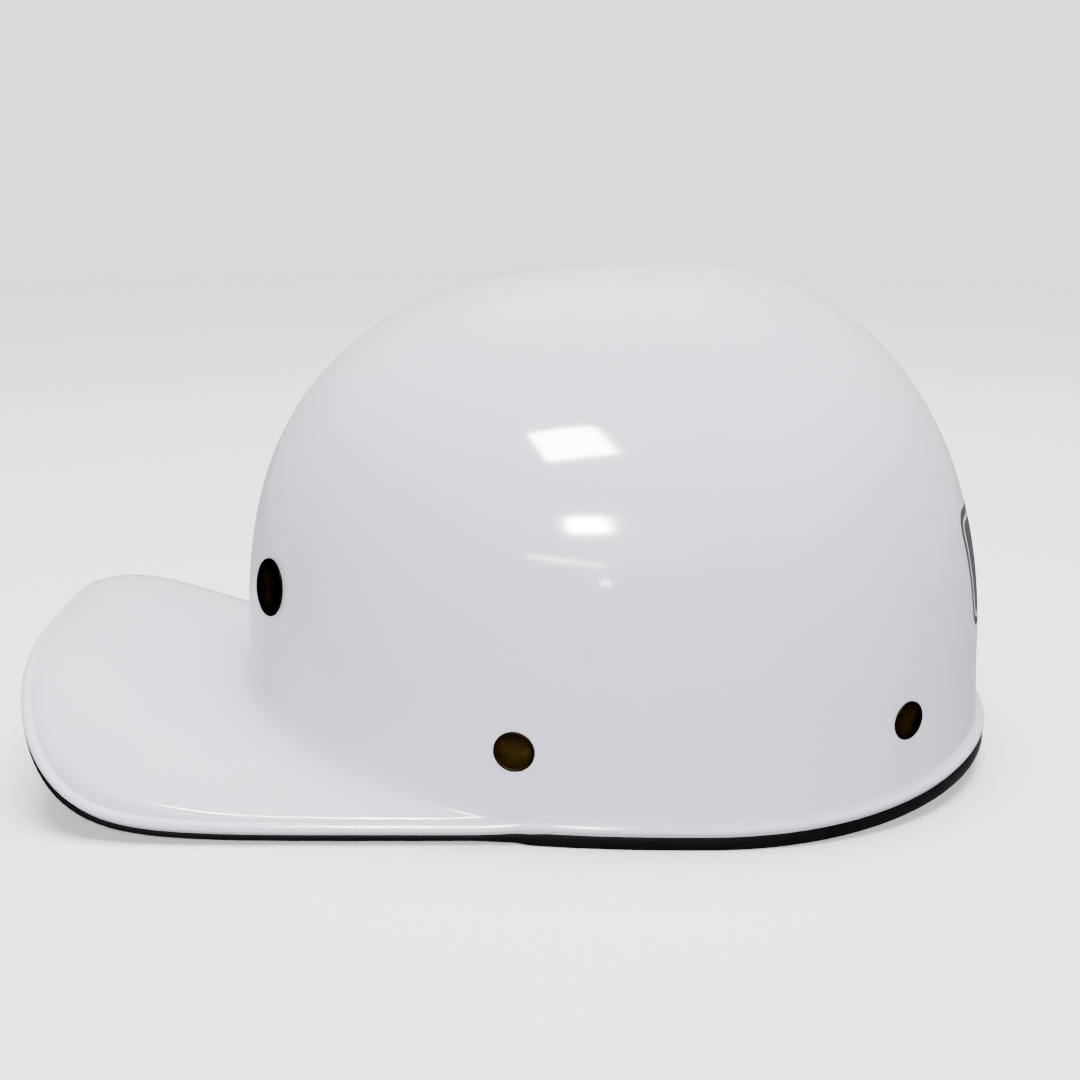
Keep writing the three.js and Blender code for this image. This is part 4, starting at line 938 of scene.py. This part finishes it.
PIN = [(0, 76.6), (3.5, 76.62), (5, 76.8), (5.5, 77.3), (5.5, 78), (3, 78), (3, 84.4)]
PIN += [(5.5, 84.4), (5.5, 85.2), (5.1, 85.6), (2.6, 85.95), (2.2, 85.6), (0, 85.6)]
STUD = [(0, 87.7), (3, 87.72), (3.6, 87.9), (4, 88.4), (4, 89), (2.2, 89), (2.2, 93.9)]
STUD += [(4, 93.9), (4, 94.6), (3.6, 95), (0, 95)]
for hand, side in (("left", 1), ("right", -1)):
    pin = turned(f"pivot_pin_{hand}_look", PIN, (0, PIVOT_Y, PIVOT_Z), (side, 0, 0))
    settle(pin, f"pivot_pin_{hand}", MATERIALS["plastic"])
    stud = turned(f"chin_stud_{hand}_look", STUD, (0, CHIN_Y, CHIN_Z), (side, 0, 0))
    settle(stud, f"chin_stud_{hand}", MATERIALS["brass"])
    arm_bend = ("nape_band", "ratchet", (0, 0.060, 0.037), (0, 0.130, 0.037))
    arm = from_cad(f"nape_arm_{hand}", 0.35)
    settle(arm, f"nape_arm_{hand}", MATERIALS["clear"], arm_bend)
    link = from_cad(f"chin_link_{hand}", 0.3)
    settle(link, f"chin_link_{hand}", MATERIALS["plastic"])

for node in ("ratchet_housing", "ratchet_cover", "buckle_socket", "buckle_plug"):
    settle(from_cad(node, 0.5 if node.startswith("r") else 0.35), node, MATERIALS["plastic"])
settle(knob(), "ratchet_knob", MATERIALS["clear"])
pad = nape_pad()
settle(pad, "nape_pad", MATERIALS["cover"])
for node, look in (("click_spring", "steel"), ("pinion", "plastic")):
    NODES[node].data.materials.clear()
    NODES[node].data.materials.append(MATERIALS[look])

short_route, long_route = chin_routes()
short = chin_webbing("chin_strap_short_look", short_route, 16)
settle(short, "chin_strap_short", MATERIALS["webbing"])
strap_bend = ("chin_strap", "buckle_plug", (0.0747, 0.0946, 0.012), (0.094, 0.080, 0.012))
long = chin_webbing("chin_strap_long_look", long_route, 150)
settle(long, "chin_strap_long", MATERIALS["webbing"], strap_bend)


# ---------------------------------------------------------------- floor, light and camera

FLOOR_FADE = (0.5, 1.9)
FLOOR_BOUNCE = (0.28, 0.27, 0.30, 1)
LIGHTS_AIM = Vector((0, 0.03, 0.08))


def floor_material():
    """Pale paper that fades out with distance and throws less light up than the camera sees."""
    material, tree, shader = surface("pale_paper")
    place = object_place(tree)
    fine = noise(tree, place, 300, 3)
    cloud = spread(tree, noise(tree, place, 1.6, 2), 0, 1)
    colour = mix_colour(tree, cloud, (0.88, 0.89, 0.88, 1), (0.91, 0.92, 0.91, 1))
    seen = make(tree, "LightPath").outputs["Is Camera Ray"]
    colour = mix_colour(tree, seen, FLOOR_BOUNCE, colour)
    feed(tree, shader, Base_Color=colour, Roughness=spread(tree, fine, 0.55, 0.65),
         Normal=bump(tree, fine, 0.05, 0.0001))
    reach = make(tree, "VectorMath", {0: place}, operation="LENGTH").outputs["Value"]
    fade = {"Value": reach, "From Min": FLOOR_FADE[0], "From Max": FLOOR_FADE[1]}
    far = make(tree, "MapRange", fade, interpolation_type="SMOOTHSTEP")
    clear = make(tree, "BsdfTransparent")
    both = make(tree, "MixShader", {0: far.outputs[0], 1: shader.outputs[0], 2: clear.outputs[0]})
    tree.links.new(both.outputs[0], tree.nodes["Material Output"].inputs[0])
    return material


floor = new_object("floor", [(-6, -6, 0), (6, -6, 0), (6, 6, 0), (-6, 6, 0)], [(0, 1, 2, 3)])
floor.data.materials.append(floor_material())


def panel(name, toward, edge, distance, size, power_w, shine=True):
    """A soft panel in a direction from the hat, its width along edge, in metres and watts.

    With shine the hat only mirrors it; without, it only lights the hat and the floor.
    """
    data = bpy.data.lights.new(name, "AREA")
    data.shape = "RECTANGLE"
    data.size, data.size_y = size
    data.energy = power_w
    light = bpy.data.objects.new(name, data)
    bpy.context.scene.collection.objects.link(light)
    back = Vector(toward).normalized()
    wide = Vector(edge) - Vector(edge).dot(back) * back
    wide.normalize()
    light.matrix_world = Matrix.Translation(back * distance + LIGHTS_AIM) @ Matrix(
        (wide, back.cross(wide), back)
    ).transposed().to_4x4()
    light.visible_camera = False
    light.visible_glossy = shine
    light.visible_diffuse = not shine


panel("overhead", (-0.08, 0.03, 1), (0, 1, 0), 1.9, (1.5, 1.5), 138, shine=False)
panel("key", (0.93, 0.02, 0.40), (0, 1, 0), 1.9, (0.4, 0.4), 66, shine=False)
panel("window_high", (0.593, -0.133, 0.784), (-0.026, 0.173, 0.047), 1.3, (0.23, 0.20), 45)
panel("window_low", (0.862, -0.12, 0.488), (0, 0.105, 0.015), 1.3, (0.135, 0.085), 18)
panel("strip", (0.915, -0.19, 0.336), (0.05, 0.226, -0.011), 1.3, (0.28, 0.012), 1.3)
panel("lamp", (0.962, -0.085, 0.259), (0, 1, 0), 1.3, (0.022, 0.02), 0.35)

world = bpy.data.worlds.new("studio")
bpy.context.scene.world = world
world.use_nodes = True
tree = world.node_tree
tree.nodes.clear()
# The room that the hat mirrors: dark, lighter overhead, with a white backdrop behind and a soft glow.
ray = make(tree, "TexCoord").outputs["Generated"]
toward = make(tree, "SeparateXYZ", {"Vector": ray})
edge = maths(tree, "SUBTRACT", toward.outputs["X"], maths(tree, "MULTIPLY", toward.outputs["Z"], 0.22))
far_edge, near_edge = spread(tree, edge, 0.45, 0, -0.21, -0.19), spread(tree, edge, 0.55, 0, -0.13, -0.11)
backdrop = maths(tree, "ADD", far_edge, near_edge)
overhead = spread(tree, toward.outputs["Z"], 0, 1, 0.2, 0.9)
room = mix_colour(tree, overhead, (0.13, 0.125, 0.14, 1), (0.42, 0.42, 0.43, 1))
facing = make(tree, "VectorMath", {0: ray, 1: (-0.56, -0.10, 0.82)}, operation="DOT_PRODUCT").outputs["Value"]
glow = maths(tree, "MULTIPLY", maths(tree, "POWER", maths(tree, "MAXIMUM", facing, 0.0), 26.0), 1.6)
lit = make(tree, "Background", {"Color": room, "Strength": 0.08})
white = mix_colour(tree, backdrop, room, (1.0, 1.0, 1.0, 1))
mirrored = make(tree, "Background", {"Color": white, "Strength": maths(tree, "ADD", glow, 1.6)})
seen = make(tree, "Background", {"Color": (0.62, 0.64, 0.61, 1), "Strength": 3.2})
path = make(tree, "LightPath").outputs
both = make(tree, "MixShader", {0: path["Is Glossy Ray"], 1: lit.outputs[0], 2: mirrored.outputs[0]})
both = make(tree, "MixShader", {0: path["Is Camera Ray"], 1: both.outputs[0], 2: seen.outputs[0]})
tree.links.new(both.outputs[0], make(tree, "OutputWorld").inputs[0])

CAMERA_AT = Vector((0.59745, 0.00777, 0.23757))
LOOKED_AT = Vector((0, 0.00777, 0.07188))
LENS = 56.82
camera_data = bpy.data.cameras.new("camera")
camera_data.lens = LENS
camera_data.sensor_width = 36
camera_data.clip_end = 30
camera = bpy.data.objects.new("camera", camera_data)
bpy.context.scene.collection.objects.link(camera)
camera.location = CAMERA_AT
gaze = LOOKED_AT - camera.location
camera.rotation_euler = gaze.to_track_quat("-Z", "Y").to_euler()
bpy.context.scene.camera = camera
